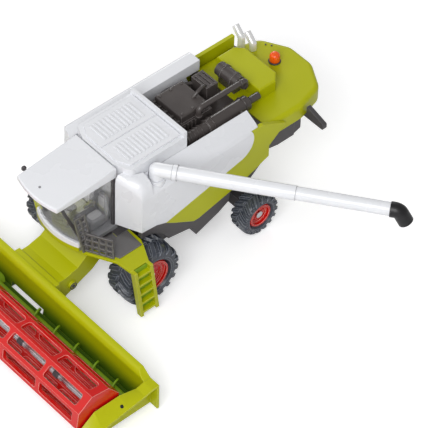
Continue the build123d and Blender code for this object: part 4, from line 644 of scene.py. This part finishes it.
# The tyre's section from the bead to the crown: steps out from the rim and down from the crown, and Y. Steps down
# and Y are shares of the width, as are the lugs' fall and foot. Slant, gap and softness are shares of a pitch.
LUG_HEIGHT = 1.9
BEAD_STEPS = (0.05, 2.0)
CROWN_STEPS = (0.155, 0.05, 0.01, 0.0)
SECTION_Y = (-0.36, -0.5, -0.5, -0.44, -0.3, -0.12)
LUG_SLANT = 0.75
LUG_STAGGER = 0.5
LUG_SHARE, LUG_SOFT = 0.56, 0.14
MIDDLE_GAP, MIDDLE_SOFT = 0.02, 0.08
LUG_FOOT, FOOT_SOFT = 0.20, 0.06
LUG_FALL, FALL_POWER = 0.09, 6


def tyre_shape(centre, radius, width, rim, lugs, rows=58, steps=26):
    """A tyre about the Y axis. Its section (r, y) runs from bead to bead, w = |y| / half width, and
    point = centre + y axis + reach (cos a one cross way + sin a the other), where reach goes from r up to the
    lugs' top in soft bands at every pitch: they slant with w and stand half a pitch apart on the two sides."""
    crown = radius - LUG_HEIGHT
    corner_r = np.concatenate((rim + np.array(BEAD_STEPS), crown - np.array(CROWN_STEPS) * width))
    corner_y = np.array(SECTION_Y) * width
    corner_r = np.concatenate((corner_r, corner_r[::-1]))
    corner_y = np.concatenate((corner_y, -corner_y[::-1]))
    run = np.concatenate(((0.0,), np.cumsum(np.hypot(np.diff(corner_r), np.diff(corner_y)))))
    s = np.linspace(0.0, run[-1], rows)
    r, y = np.interp(s, run, corner_r)[:, None], np.interp(s, run, corner_y)[:, None]
    w = np.abs(y) / (width / 2)
    angle = round_about(lugs * steps)[None, :]
    pitch = lugs * angle / TURN - LUG_SLANT * w + LUG_STAGGER * (y > 0)
    gap = np.abs(pitch % 1.0 - 0.5) * 2.0
    band = eased((LUG_SHARE - gap) / LUG_SOFT)
    off_middle = eased((w - MIDDLE_GAP) / MIDDLE_SOFT)
    off_wall = eased((r - crown + LUG_FOOT * width) / (FOOT_SOFT * width))
    top = radius - LUG_FALL * width * w ** FALL_POWER
    reach = (r + band * off_middle * off_wall * np.maximum(top - r, 0.0))[..., None] * MM
    one, other, along = cross_ways(LEFT)
    angle = angle[..., None]
    points = centre + y[..., None] * MM * along + reach * (np.cos(angle) * one + np.sin(angle) * other)
    return points.reshape(-1, 3), quads(rows, lugs * steps, True, True).tolist()


# The sheet behind the ladder's steps, in a darker green that is painted shade between the steps.
SHEET_X, SHEET_WIDTH, SHEET_LEAN = 4.6, 13.8, 7.5
SHEET_Y, SHEET_DEPTH, SHEET_WAVE, SHEET_WAVES = 69.3, 0.8, 0.25, 5
SHEET_LOW, SHEET_UNDER = 5.0, 0.5


def ladder_back(rows=60, columns=12):
    """The moulded sheet behind the ladder's steps: a thin loop that leans with the rails and waves once a step.
    X = foot + width u + lean v, Z = low + (high - low) v and Y = inner face + wave cos(turns of v) + thickness."""
    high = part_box("ladder")[1].z / MM - SHEET_UNDER
    u = np.linspace(0.0, 1.0, columns)
    v = np.linspace(0.0, 1.0, rows)[:, None]
    across = np.concatenate((u, u[::-1]))
    deep = np.concatenate((np.zeros(columns), np.full(columns, SHEET_DEPTH)))
    x = SHEET_X + SHEET_WIDTH * across + SHEET_LEAN * v
    y = SHEET_Y + SHEET_WAVE * np.cos(SHEET_WAVES * TURN * v) + deep
    z = np.broadcast_to(SHEET_LOW + (high - SHEET_LOW) * v, x.shape)
    points = ZERO + np.stack((x, y, z), -1) * MM
    return points.reshape(-1, 3), capped(rows, 2 * columns)


# Pieces by group, in millimetres: places are (X, Y, Z), profiles are (radius, height).

DECK_PIN = ((0.8, -0.5), (0.8, 0.5), (0.5, 0.8))
DECK_PIN_PLACES = ((-201.6, -27.4, 95), (-204.6, -23.3, 95))
BEACON_SEAT, BEACON_RADIUS, BEACON_LIP = (-194, -8, 95.4), 4.6, 0.8


class COMBINE_OT_body(bpy.types.Operator):
    """Paint the tank, panels, hood and chassis, and cap the left shoulder"""
    bl_idname = "combine.body"
    bl_label = "Body"

    def execute(self, context):
        paint_nodes("white", ["tank_body", "tank_lid", "left_side_panel", "right_side_panel", "tube_turret"])
        paint_nodes("lime", ["left_lower_panel", "right_lower_panel", "rear_hood", "hood_box"])
        paint_nodes("dark", ["left_skirt", "right_skirt", "tool_boxes", "straw_chopper", "chassis_frame",
                             "axle_carriers", "feeder_ears", "tow_hitch", "lamp_arms"])
        paint_nodes("chrome", ["exhaust_stack"])
        paint_nodes("orange", ["beacon"])
        add_piece("shoulder_cap", shoulder_cap(), "white", smooth=35.0)
        add_piece("deck_pins", copies(DECK_PIN, UP, DECK_PIN_PLACES, 14), "dark")
        add_piece("beacon_seat", ring(spot(*BEACON_SEAT), UP, BEACON_RADIUS, BEACON_LIP), "dark")
        return {"FINISHED"}


RIB_X, RIB_Y, RIB_Z, RIB_SIZE = (-68.0, -92.0), 8.3, 100.5, (2.0, 2.4, 11.5)
LUMP_X, LUMP_Y, LUMP_Z, LUMP_SIZE, LUMP_SQUARE = -66.5, (-25.5, 5.0), 105.6, (5.5, 4.2, 5.0), 0.6
COVER_BOLT = ((1.2, -0.5), (1.2, 0.5), (0.8, 0.9))
COVER_BOLT_X, COVER_BOLT_Y, COVER_TOP = (-105.0, -93.5, -82.0), (-24.0, 3.0), 114
CLEANER_Y, CLEANER_Z, CLEANER_LIP = 18, 102, 0.8
CLEANER_RINGS = ((-76.0, 5.2), (-80.0, 5.2), (-84.0, 5.2), (-88.0, 5.2), (-100.0, 6.5), (-134.0, 6.5))  # X, radius
FLANGES = (((-95, 8.7, 109), UP, 2.6, 0.9), ((-140, 8.7, 116.5), AHEAD, 2.6, 0.8))  # place, axis, radius, lip
HOSES = (  # radius and corners
    (1.5, ((-118, -10, 113), (-114, -6, 121), (-106, -4, 121), (-100, -6, 112))),
    (1.7, ((-84, -26, 104), (-84, -33, 106), (-100, -34, 106), (-118, -24, 106))),
    (1.6, ((-74, 13.0, 102), (-69, 11, 102), (-69, 9, 103), (-72, 6, 103))),
)


class COMBINE_OT_engine(bpy.types.Operator):
    """Paint the open engine bay and add ribs, bolts, rings and moulded pipes"""
    bl_idname = "combine.engine"
    bl_label = "Engine bay"

    def execute(self, context):
        paint_nodes("engine", ["bay_floor", "engine_block", "radiator_box", "air_cleaner", "muffler"])
        count = context.scene.combine_trim.bay_ribs
        ribs = [pillow((x, RIB_Y, RIB_Z), RIB_SIZE) for x in np.linspace(*RIB_X, count)]
        add_piece("engine_ribs", joined(*ribs), "engine")
        lumps = [pillow((LUMP_X, y, LUMP_Z), LUMP_SIZE, LUMP_SQUARE) for y in np.linspace(*LUMP_Y, count)]
        add_piece("engine_lumps", joined(*lumps), "engine")
        places = [(x, y, COVER_TOP) for x in COVER_BOLT_X for y in COVER_BOLT_Y]
        add_piece("cover_bolts", copies(COVER_BOLT, UP, places, 12), "engine")
        rings = [ring(spot(x, CLEANER_Y, CLEANER_Z), AHEAD, radius, CLEANER_LIP) for x, radius in CLEANER_RINGS]
        add_piece("cleaner_rings", joined(*rings), "engine")
        flanges = [ring(spot(*place), axis, radius, lip) for place, axis, radius, lip in FLANGES]
        add_piece("pipe_flanges", joined(*flanges), "engine")
        hoses = [pipe(bow(corners), radius) for radius, corners in HOSES]
        add_piece("engine_pipes", joined(*hoses), "engine")
        return {"FINISHED"}


# Centre and size of soft blocks in the cab.
CUSHIONS = (((17.1, 0, 87.5), (1.6, 10.5, 14.5)), ((23.5, 0, 77.1), (12.0, 13.0, 1.8)))
ARMS = (((20.0, 8.4, 83.0), (12.0, 2.0, 2.4)), ((20.0, -8.4, 83.0), (12.0, 2.0, 2.4)),
        ((24.0, -16.5, 69.0), (20.0, 6.0, 10.4)))
INLAYS = (((12.6, 14.4, 86.0), (1.2, 7.0, 11.5)), ((19.8, 14.4, 75.4), (11.5, 7.5, 1.2)))
INLAY_SQUARE = 0.5
BENCH = ((10.6, 4.2, 94.0), (19.5, 16.0, 75.5))  # X, depth and top of the second seat's back and base
BENCH_Y, BENCH_WIDTH, BENCH_SQUARE = 14.4, 10.6, 0.35
BENCH_SINK = 0.0002
WHEEL_PLACE, WHEEL_AXIS, WHEEL_RADIUS, WHEEL_GRIP = (33.3, 0, 82.4), (-0.35, 0, 1), 5.0, 0.9
ROOF_PIN, ROOF_PIN_PLACE = ((1.1, -0.6), (1.1, 0.2), (0.7, 0.5)), (61, -2.5, 122)
MIRROR = ((0.9, -0.6), (0.9, 2.6), (2.1, 3.0), (2.3, 4.4), (1.5, 5.4))
MIRROR_PLACE, MIRROR_AXIS = (56, -24.4, 119.4), (0, -1, 0)


class COMBINE_OT_cab(bpy.types.Operator):
    """Paint the cab, platform, railing and ladder, and furnish the inside"""
    bl_idname = "combine.cab"
    bl_label = "Cab"

    def execute(self, context):
        paint_nodes("white", ["cab_roof"])
        paint_nodes("sill", ["cab_sill"])
        paint_nodes("glass", ["cab_glazing"])
        paint_nodes("dark", ["cab_pillars"])
        paint_nodes("cabin", ["cab_floor", "steering_column"])
        paint_nodes("seat", ["driver_seat"])
        paint_nodes("lime", ["left_platform", "right_platform", "ladder"])
        paint_nodes("mat", ["platform_mat", "platform_railing"])
        add_piece("seat_cushions", joined(*(pillow(*block) for block in CUSHIONS)), "pale")
        add_piece("seat_arms", joined(*(pillow(*block) for block in ARMS)), "seat")
        floor = (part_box("cab_floor")[1].z - BENCH_SINK) / MM
        bench = [pillow((x, BENCH_Y, (floor + top) / 2), (depth, BENCH_WIDTH, top - floor), BENCH_SQUARE)
                 for x, depth, top in BENCH]
        add_piece("second_seat", joined(*bench), "seat")
        add_piece("second_seat_inlays", joined(*(pillow(*block, INLAY_SQUARE) for block in INLAYS)), "pale")
        # A moulded backing whose darker, greener auger paint is painted shade between the ladder's steps.
        add_piece("ladder_back", ladder_back(), "auger")
        add_piece("steering_ring", ring(spot(*WHEEL_PLACE), WHEEL_AXIS, WHEEL_RADIUS, WHEEL_GRIP), "dark")
        add_piece("roof_pin", turned(ROOF_PIN, spot(*ROOF_PIN_PLACE), UP, 16), "seat")
        add_piece("roof_mirror", turned(MIRROR, spot(*MIRROR_PLACE), MIRROR_AXIS, 18), "dark")
        return {"FINISHED"}


TUBE_WAY, TUBE_ROOT = (-0.5948, 0.8039, 0.0), (-23, 40, 119)
TUBE_SEAMS, SEAM_LIP = ((13, 6.5), (17, 6.5), (112, 5.95)), 0.16  # way along the tube, radius


class COMBINE_OT_tube(bpy.types.Operator):
    """Paint the unloading tube and add its seams"""
    bl_idname = "combine.tube"
    bl_label = "Unloading tube"

    def execute(self, context):
        paint_nodes("white", ["unloading_tube"])
        paint_nodes("black", ["tube_spout"])
        along = np.array(TUBE_WAY)
        seams = [ring(spot(*TUBE_ROOT) + along * at * MM, along, radius, SEAM_LIP) for at, radius in TUBE_SEAMS]
        add_piece("tube_seams", joined(*seams), "seat", "unloading_tube")
        return {"FINISHED"}


# Axle, X, radius of tyre, rim and bead, width and lugs a side.
WHEELS = (("front", 0.0, 28.5, 16.4, 20.4, 27.0, 18), ("rear", -117.0, 19.5, 11.3, 14.1, 18.5, 16))
TYRE_FACE, BEAD_Y, BEAD_LIP = 65.0, 64.9, 0.5
RIM_RINGS = ((61.3, 0.76, 0.5), (60.5, 0.47, 0.4))  # Y, share of the rim's radius, lip
BOLT_Y, BOLT_REACH = 60.5, 0.39
WHEEL_SIDES = 64


class COMBINE_OT_wheels(bpy.types.Operator):
    """Paint tyres, rims and axles, put finer lugs on the tyres, and add rings and bolts to each wheel"""
    bl_idname = "combine.wheels"
    bl_label = "Wheels"

    def execute(self, context):
        paint_nodes("tyre", [name for name in NODES if name.endswith("_tyre")])
        paint_nodes("red", [name for name in NODES if name.endswith("_rim")])
        paint_nodes("steel", ["front_axle", "rear_axle", "feeder_pin"])
        trim = context.scene.combine_trim
        head = trim.bolt_radius / MM
        bolt = ((head, -0.3), (head, 0.4), (0.6 * head, 0.7))
        for end, x, z, rim, bead, width, lugs in WHEELS:
            reach = BOLT_REACH * rim
            for side, way in zip(("left", "right"), SIDES):
                body = f"{end}_{side}_wheel"
                out = (0, way, 0)
                tyre = tyre_shape(spot(x, way * (TYRE_FACE - width / 2), z), z, width, rim, lugs)
                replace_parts(add_piece(f"{body}_rubber", tyre, "tyre", body, 32.0), f"{end}_{side}_tyre")
                add_piece(f"{body}_bead", ring(spot(x, way * BEAD_Y, z), out, bead, BEAD_LIP, WHEEL_SIDES),
                          "tyre", body)
                rings = [ring(spot(x, way * y, z), out, share * rim, lip, WHEEL_SIDES) for y, share, lip in RIM_RINGS]
                add_piece(f"{body}_rings", joined(*rings), "red", body)
                places = [(x + reach * math.cos(a), way * BOLT_Y, z + reach * math.sin(a))
                          for a in round_about(trim.bolts)]
                add_piece(f"{body}_bolts", copies(bolt, out, places, 12), "red", body)
        return {"FINISHED"}


CLAMP_X, CLAMP_Y, CLAMP_Z, CLAMP_BEVEL = 123, (-91.8, -47.6, 0.0, 47.6, 91.8), 28.5, (0.7, 0.6)
SCREW, SCREW_X, SCREW_Y, SCREW_Z = ((1.5, -0.6), (1.5, 0.12), (1.2, 0.3)), 105.5, 149.0, 28.0
SCREW_LEAN = (0.61, 0.79)
BOSS, BOSS_X, BOSS_Y, BOSS_Z = ((1.7, -0.5), (1.7, 0.3), (1.1, 0.7)), 51.3, 25.5, 22.5
BOSS_RADIUS, BOSS_LIP = 3.0, 0.5
ADAPTER_SEAM = ((65.2, 0, 34.6), (0.8, 46.0, 0.8))


class COMBINE_OT_header(bpy.types.Operator):
    """Paint the header, reel and auger, and add clamps, screws and seams"""
    bl_idname = "combine.header"
    bl_label = "Header"

    def execute(self, context):
        paint_nodes("lime", ["feeder_house", "left_end_plate", "right_end_plate"])
        # The trough finish carries painted shade towards the bottom of the trough.
        paint_nodes("trough", ["header_back", "header_floor"])
        paint_nodes("auger", ["intake_auger"])
        paint_nodes("red", ["reel"])
        paint_nodes("steel", ["reel_axle", "auger_axle"])
        trim = context.scene.combine_trim
        half, wide = trim.clamp_length / MM / 2, trim.clamp_radius / MM
        step, slope = CLAMP_BEVEL
        clamp = ((wide - step, -half), (wide, slope - half), (wide, half - slope), (wide - step, half))
        places = [(CLAMP_X, y, CLAMP_Z) for y in CLAMP_Y]
        add_piece("axle_clamps", copies(clamp, LEFT, places, 24), "dark", "header")
        out, rise = SCREW_LEAN
        # The screws are real; their near-black soft plastic is painted shade, standing in for the dark holes they sit
        # in.
        screws = [turned(SCREW, spot(SCREW_X, side * SCREW_Y, SCREW_Z), (0, side * out, rise), 18) for side in SIDES]
        add_piece("plate_screws", joined(*screws), "black", "header")
        ends = [spot(BOSS_X, side * BOSS_Y, BOSS_Z) for side in SIDES]
        bosses = [ring(end, LEFT, BOSS_RADIUS, BOSS_LIP) for end in ends]
        centres = [turned(BOSS, end, (0, side, 0), 18) for end, side in zip(ends, SIDES)]
        add_piece("boss_rings", joined(*bosses, *centres), "dark", "header")
        add_piece("adapter_seam", pillow(*ADAPTER_SEAM), "dark", "header")
        return {"FINISHED"}


# The stage, in metres.

FLOOR_HALF, FLOOR_DROP = 6.0, 0.0004
GLOW_NEAR, GLOW_FAR = 0.35, 1.8
LAMP_AIM = (0.0, 0.0, 0.05)
LAMPS = (("key", 1.1, (1.10, 0.75, 1.25)), ("fill", 1.3, (0.9, -0.9, 1.0)), ("rim", 0.5, (-1.0, -1.2, 0.75)))
# The camera's place in millimetres, its directions as fitted to the photo, and how far it aims right and up.
CAMERA_PLACE = (1059.6, 1266.3, 1826.3)
CAMERA_RIGHT, CAMERA_UP = (-0.7618, 0.6478, 0.0), (-0.4814, -0.5662, 0.6691)
CAMERA_LOOK = (-0.4335, -0.5098, -0.7431)
AIM_RIGHT, AIM_UP = 0.0320, 0.0160
SENSOR, CLIP_END = 36.0, 20.0


def seen_directly(tree):
    """One for rays that show a thing to the camera, straight or through glass, and nought for the rest."""
    path = node(tree, "ShaderNodeLightPath")
    seen = node(tree, "ShaderNodeMath", operation="MAXIMUM")
    tree.links.new(path.outputs["Is Camera Ray"], seen.inputs[0])
    tree.links.new(path.outputs["Is Transmission Ray"], seen.inputs[1])
    return seen.outputs["Value"]


def floor_paper(setting):
    """Pale paper with a white glow that rises with the distance from the toy."""
    paper = bpy.data.materials.new("floor_paper")
    paper.use_nodes = True
    tree = paper.node_tree
    shader = shader_of(paper)
    put(shader, {"Base Color": four(setting.floor), "Roughness": 0.9, "Specular IOR Level": 0.1,
                 "Emission Color": WHITE})
    where = node(tree, "ShaderNodeTexCoord")
    away = node(tree, "ShaderNodeVectorMath", operation="LENGTH")
    fade = node(tree, "ShaderNodeMapRange", interpolation_type="SMOOTHSTEP", from_min=GLOW_NEAR,
                from_max=GLOW_FAR, to_min=setting.glow, to_max=setting.far_glow)
    glow = node(tree, "ShaderNodeMath", operation="MULTIPLY")
    tree.links.new(where.outputs["Object"], away.inputs[0])
    tree.links.new(away.outputs["Value"], fade.inputs["Value"])
    tree.links.new(seen_directly(tree), glow.inputs[0])
    tree.links.new(fade.outputs["Result"], glow.inputs[1])
    tree.links.new(glow.outputs["Value"], shader.inputs["Emission Strength"])
    return paper


def studio_world(setting):
    """A white background that lights the toy less than it shows."""
    world = bpy.data.worlds.new("studio")
    world.use_nodes = True
    tree = world.node_tree
    backdrop = tree.nodes["Background"]
    put(backdrop, {"Color": WHITE})
    level = node(tree, "ShaderNodeMapRange", to_min=setting.sky, to_max=1.0)
    tree.links.new(seen_directly(tree), level.inputs["Value"])
    tree.links.new(level.outputs["Result"], backdrop.inputs["Strength"])
    return world


def add_lamp(scene, name, watts, side, place):
    """A square lamp that points at the toy."""
    lamp = bpy.data.lights.new(name, "AREA")
    lamp.energy = watts
    lamp.size = side
    made = bpy.data.objects.new(name, lamp)
    scene.collection.objects.link(made)
    made.location = place
    aim = Vector(LAMP_AIM) - Vector(place)
    made.rotation_euler = aim.to_track_quat("-Z", "Y").to_euler()


def add_camera(scene, lens):
    """The camera that took the photo, as fitted to it."""
    camera = bpy.data.cameras.new("photo_camera")
    camera.sensor_width = SENSOR
    camera.lens = lens
    camera.clip_end = CLIP_END
    eye = bpy.data.objects.new("photo_camera", camera)
    scene.collection.objects.link(eye)
    right, rise, look = Vector(CAMERA_RIGHT), Vector(CAMERA_UP), Vector(CAMERA_LOOK)
    aim = (look + right * AIM_RIGHT + rise * AIM_UP).normalized()
    side = aim.cross(rise).normalized()
    top = side.cross(aim)
    eye.matrix_world = Matrix((side, top, -aim)).transposed().to_4x4()
    eye.location = Vector(spot(*CAMERA_PLACE))
    scene.camera = eye


class COMBINE_OT_stage(bpy.types.Operator):
    """Make the floor, the studio light and the camera"""
    bl_idname = "combine.stage"
    bl_label = "Stage"

    def execute(self, context):
        scene = context.scene
        setting = scene.combine_stage
        floor = bpy.data.meshes.new("floor")
        corners = [(x * FLOOR_HALF, y * FLOOR_HALF, -FLOOR_DROP) for x, y in ((-1, -1), (1, -1), (1, 1), (-1, 1))]
        floor.from_pydata(corners, [], [(0, 1, 2, 3)])
        ground = bpy.data.objects.new("floor", floor)
        scene.collection.objects.link(ground)
        floor.materials.append(floor_paper(setting))
        scene.world = studio_world(setting)
        for name, side, place in LAMPS:
            add_lamp(scene, f"{name}_lamp", getattr(setting, name), side, place)
        add_camera(scene, setting.lens)
        scene.view_settings.view_transform = "Standard"
        return {"FINISHED"}


class COMBINE_PT_panel(bpy.types.Panel):
    """Lists the settings and the steps that dress the toy"""
    bl_idname = "COMBINE_PT_panel"
    bl_label = "Toy combine"
    bl_space_type = "VIEW_3D"
    bl_region_type = "UI"
    bl_category = "Combine"

    def draw(self, context):
        layout = self.layout
        for name, _ in SETTINGS:
            settings = getattr(context.scene, name)
            for key in settings.__annotations__:
                layout.prop(settings, key)
        for step in STEPS:
            layout.operator(step.bl_idname)


STEPS = (COMBINE_OT_stage, COMBINE_OT_body, COMBINE_OT_engine, COMBINE_OT_cab, COMBINE_OT_tube, COMBINE_OT_wheels,
         COMBINE_OT_header)
SETTINGS = (("combine_paint", CombinePaint), ("combine_trim", CombineTrim), ("combine_stage", CombineStage))


def register():
    """Registers settings, steps and panel."""
    for name, kind in SETTINGS:
        bpy.utils.register_class(kind)
        setattr(bpy.types.Scene, name, PointerProperty(type=kind))
    for kind in STEPS:
        bpy.utils.register_class(kind)
    bpy.utils.register_class(COMBINE_PT_panel)


def unregister():
    """Takes panel, steps and settings out again."""
    bpy.utils.unregister_class(COMBINE_PT_panel)
    for kind in STEPS:
        bpy.utils.unregister_class(kind)
    for name, kind in SETTINGS:
        delattr(bpy.types.Scene, name)
        bpy.utils.unregister_class(kind)


def main():
    """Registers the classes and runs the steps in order."""
    register()
    bpy.ops.combine.stage()
    bpy.ops.combine.body()
    bpy.ops.combine.engine()
    bpy.ops.combine.cab()
    bpy.ops.combine.tube()
    bpy.ops.combine.wheels()
    bpy.ops.combine.header()


if __name__ == "__main__":
    main()
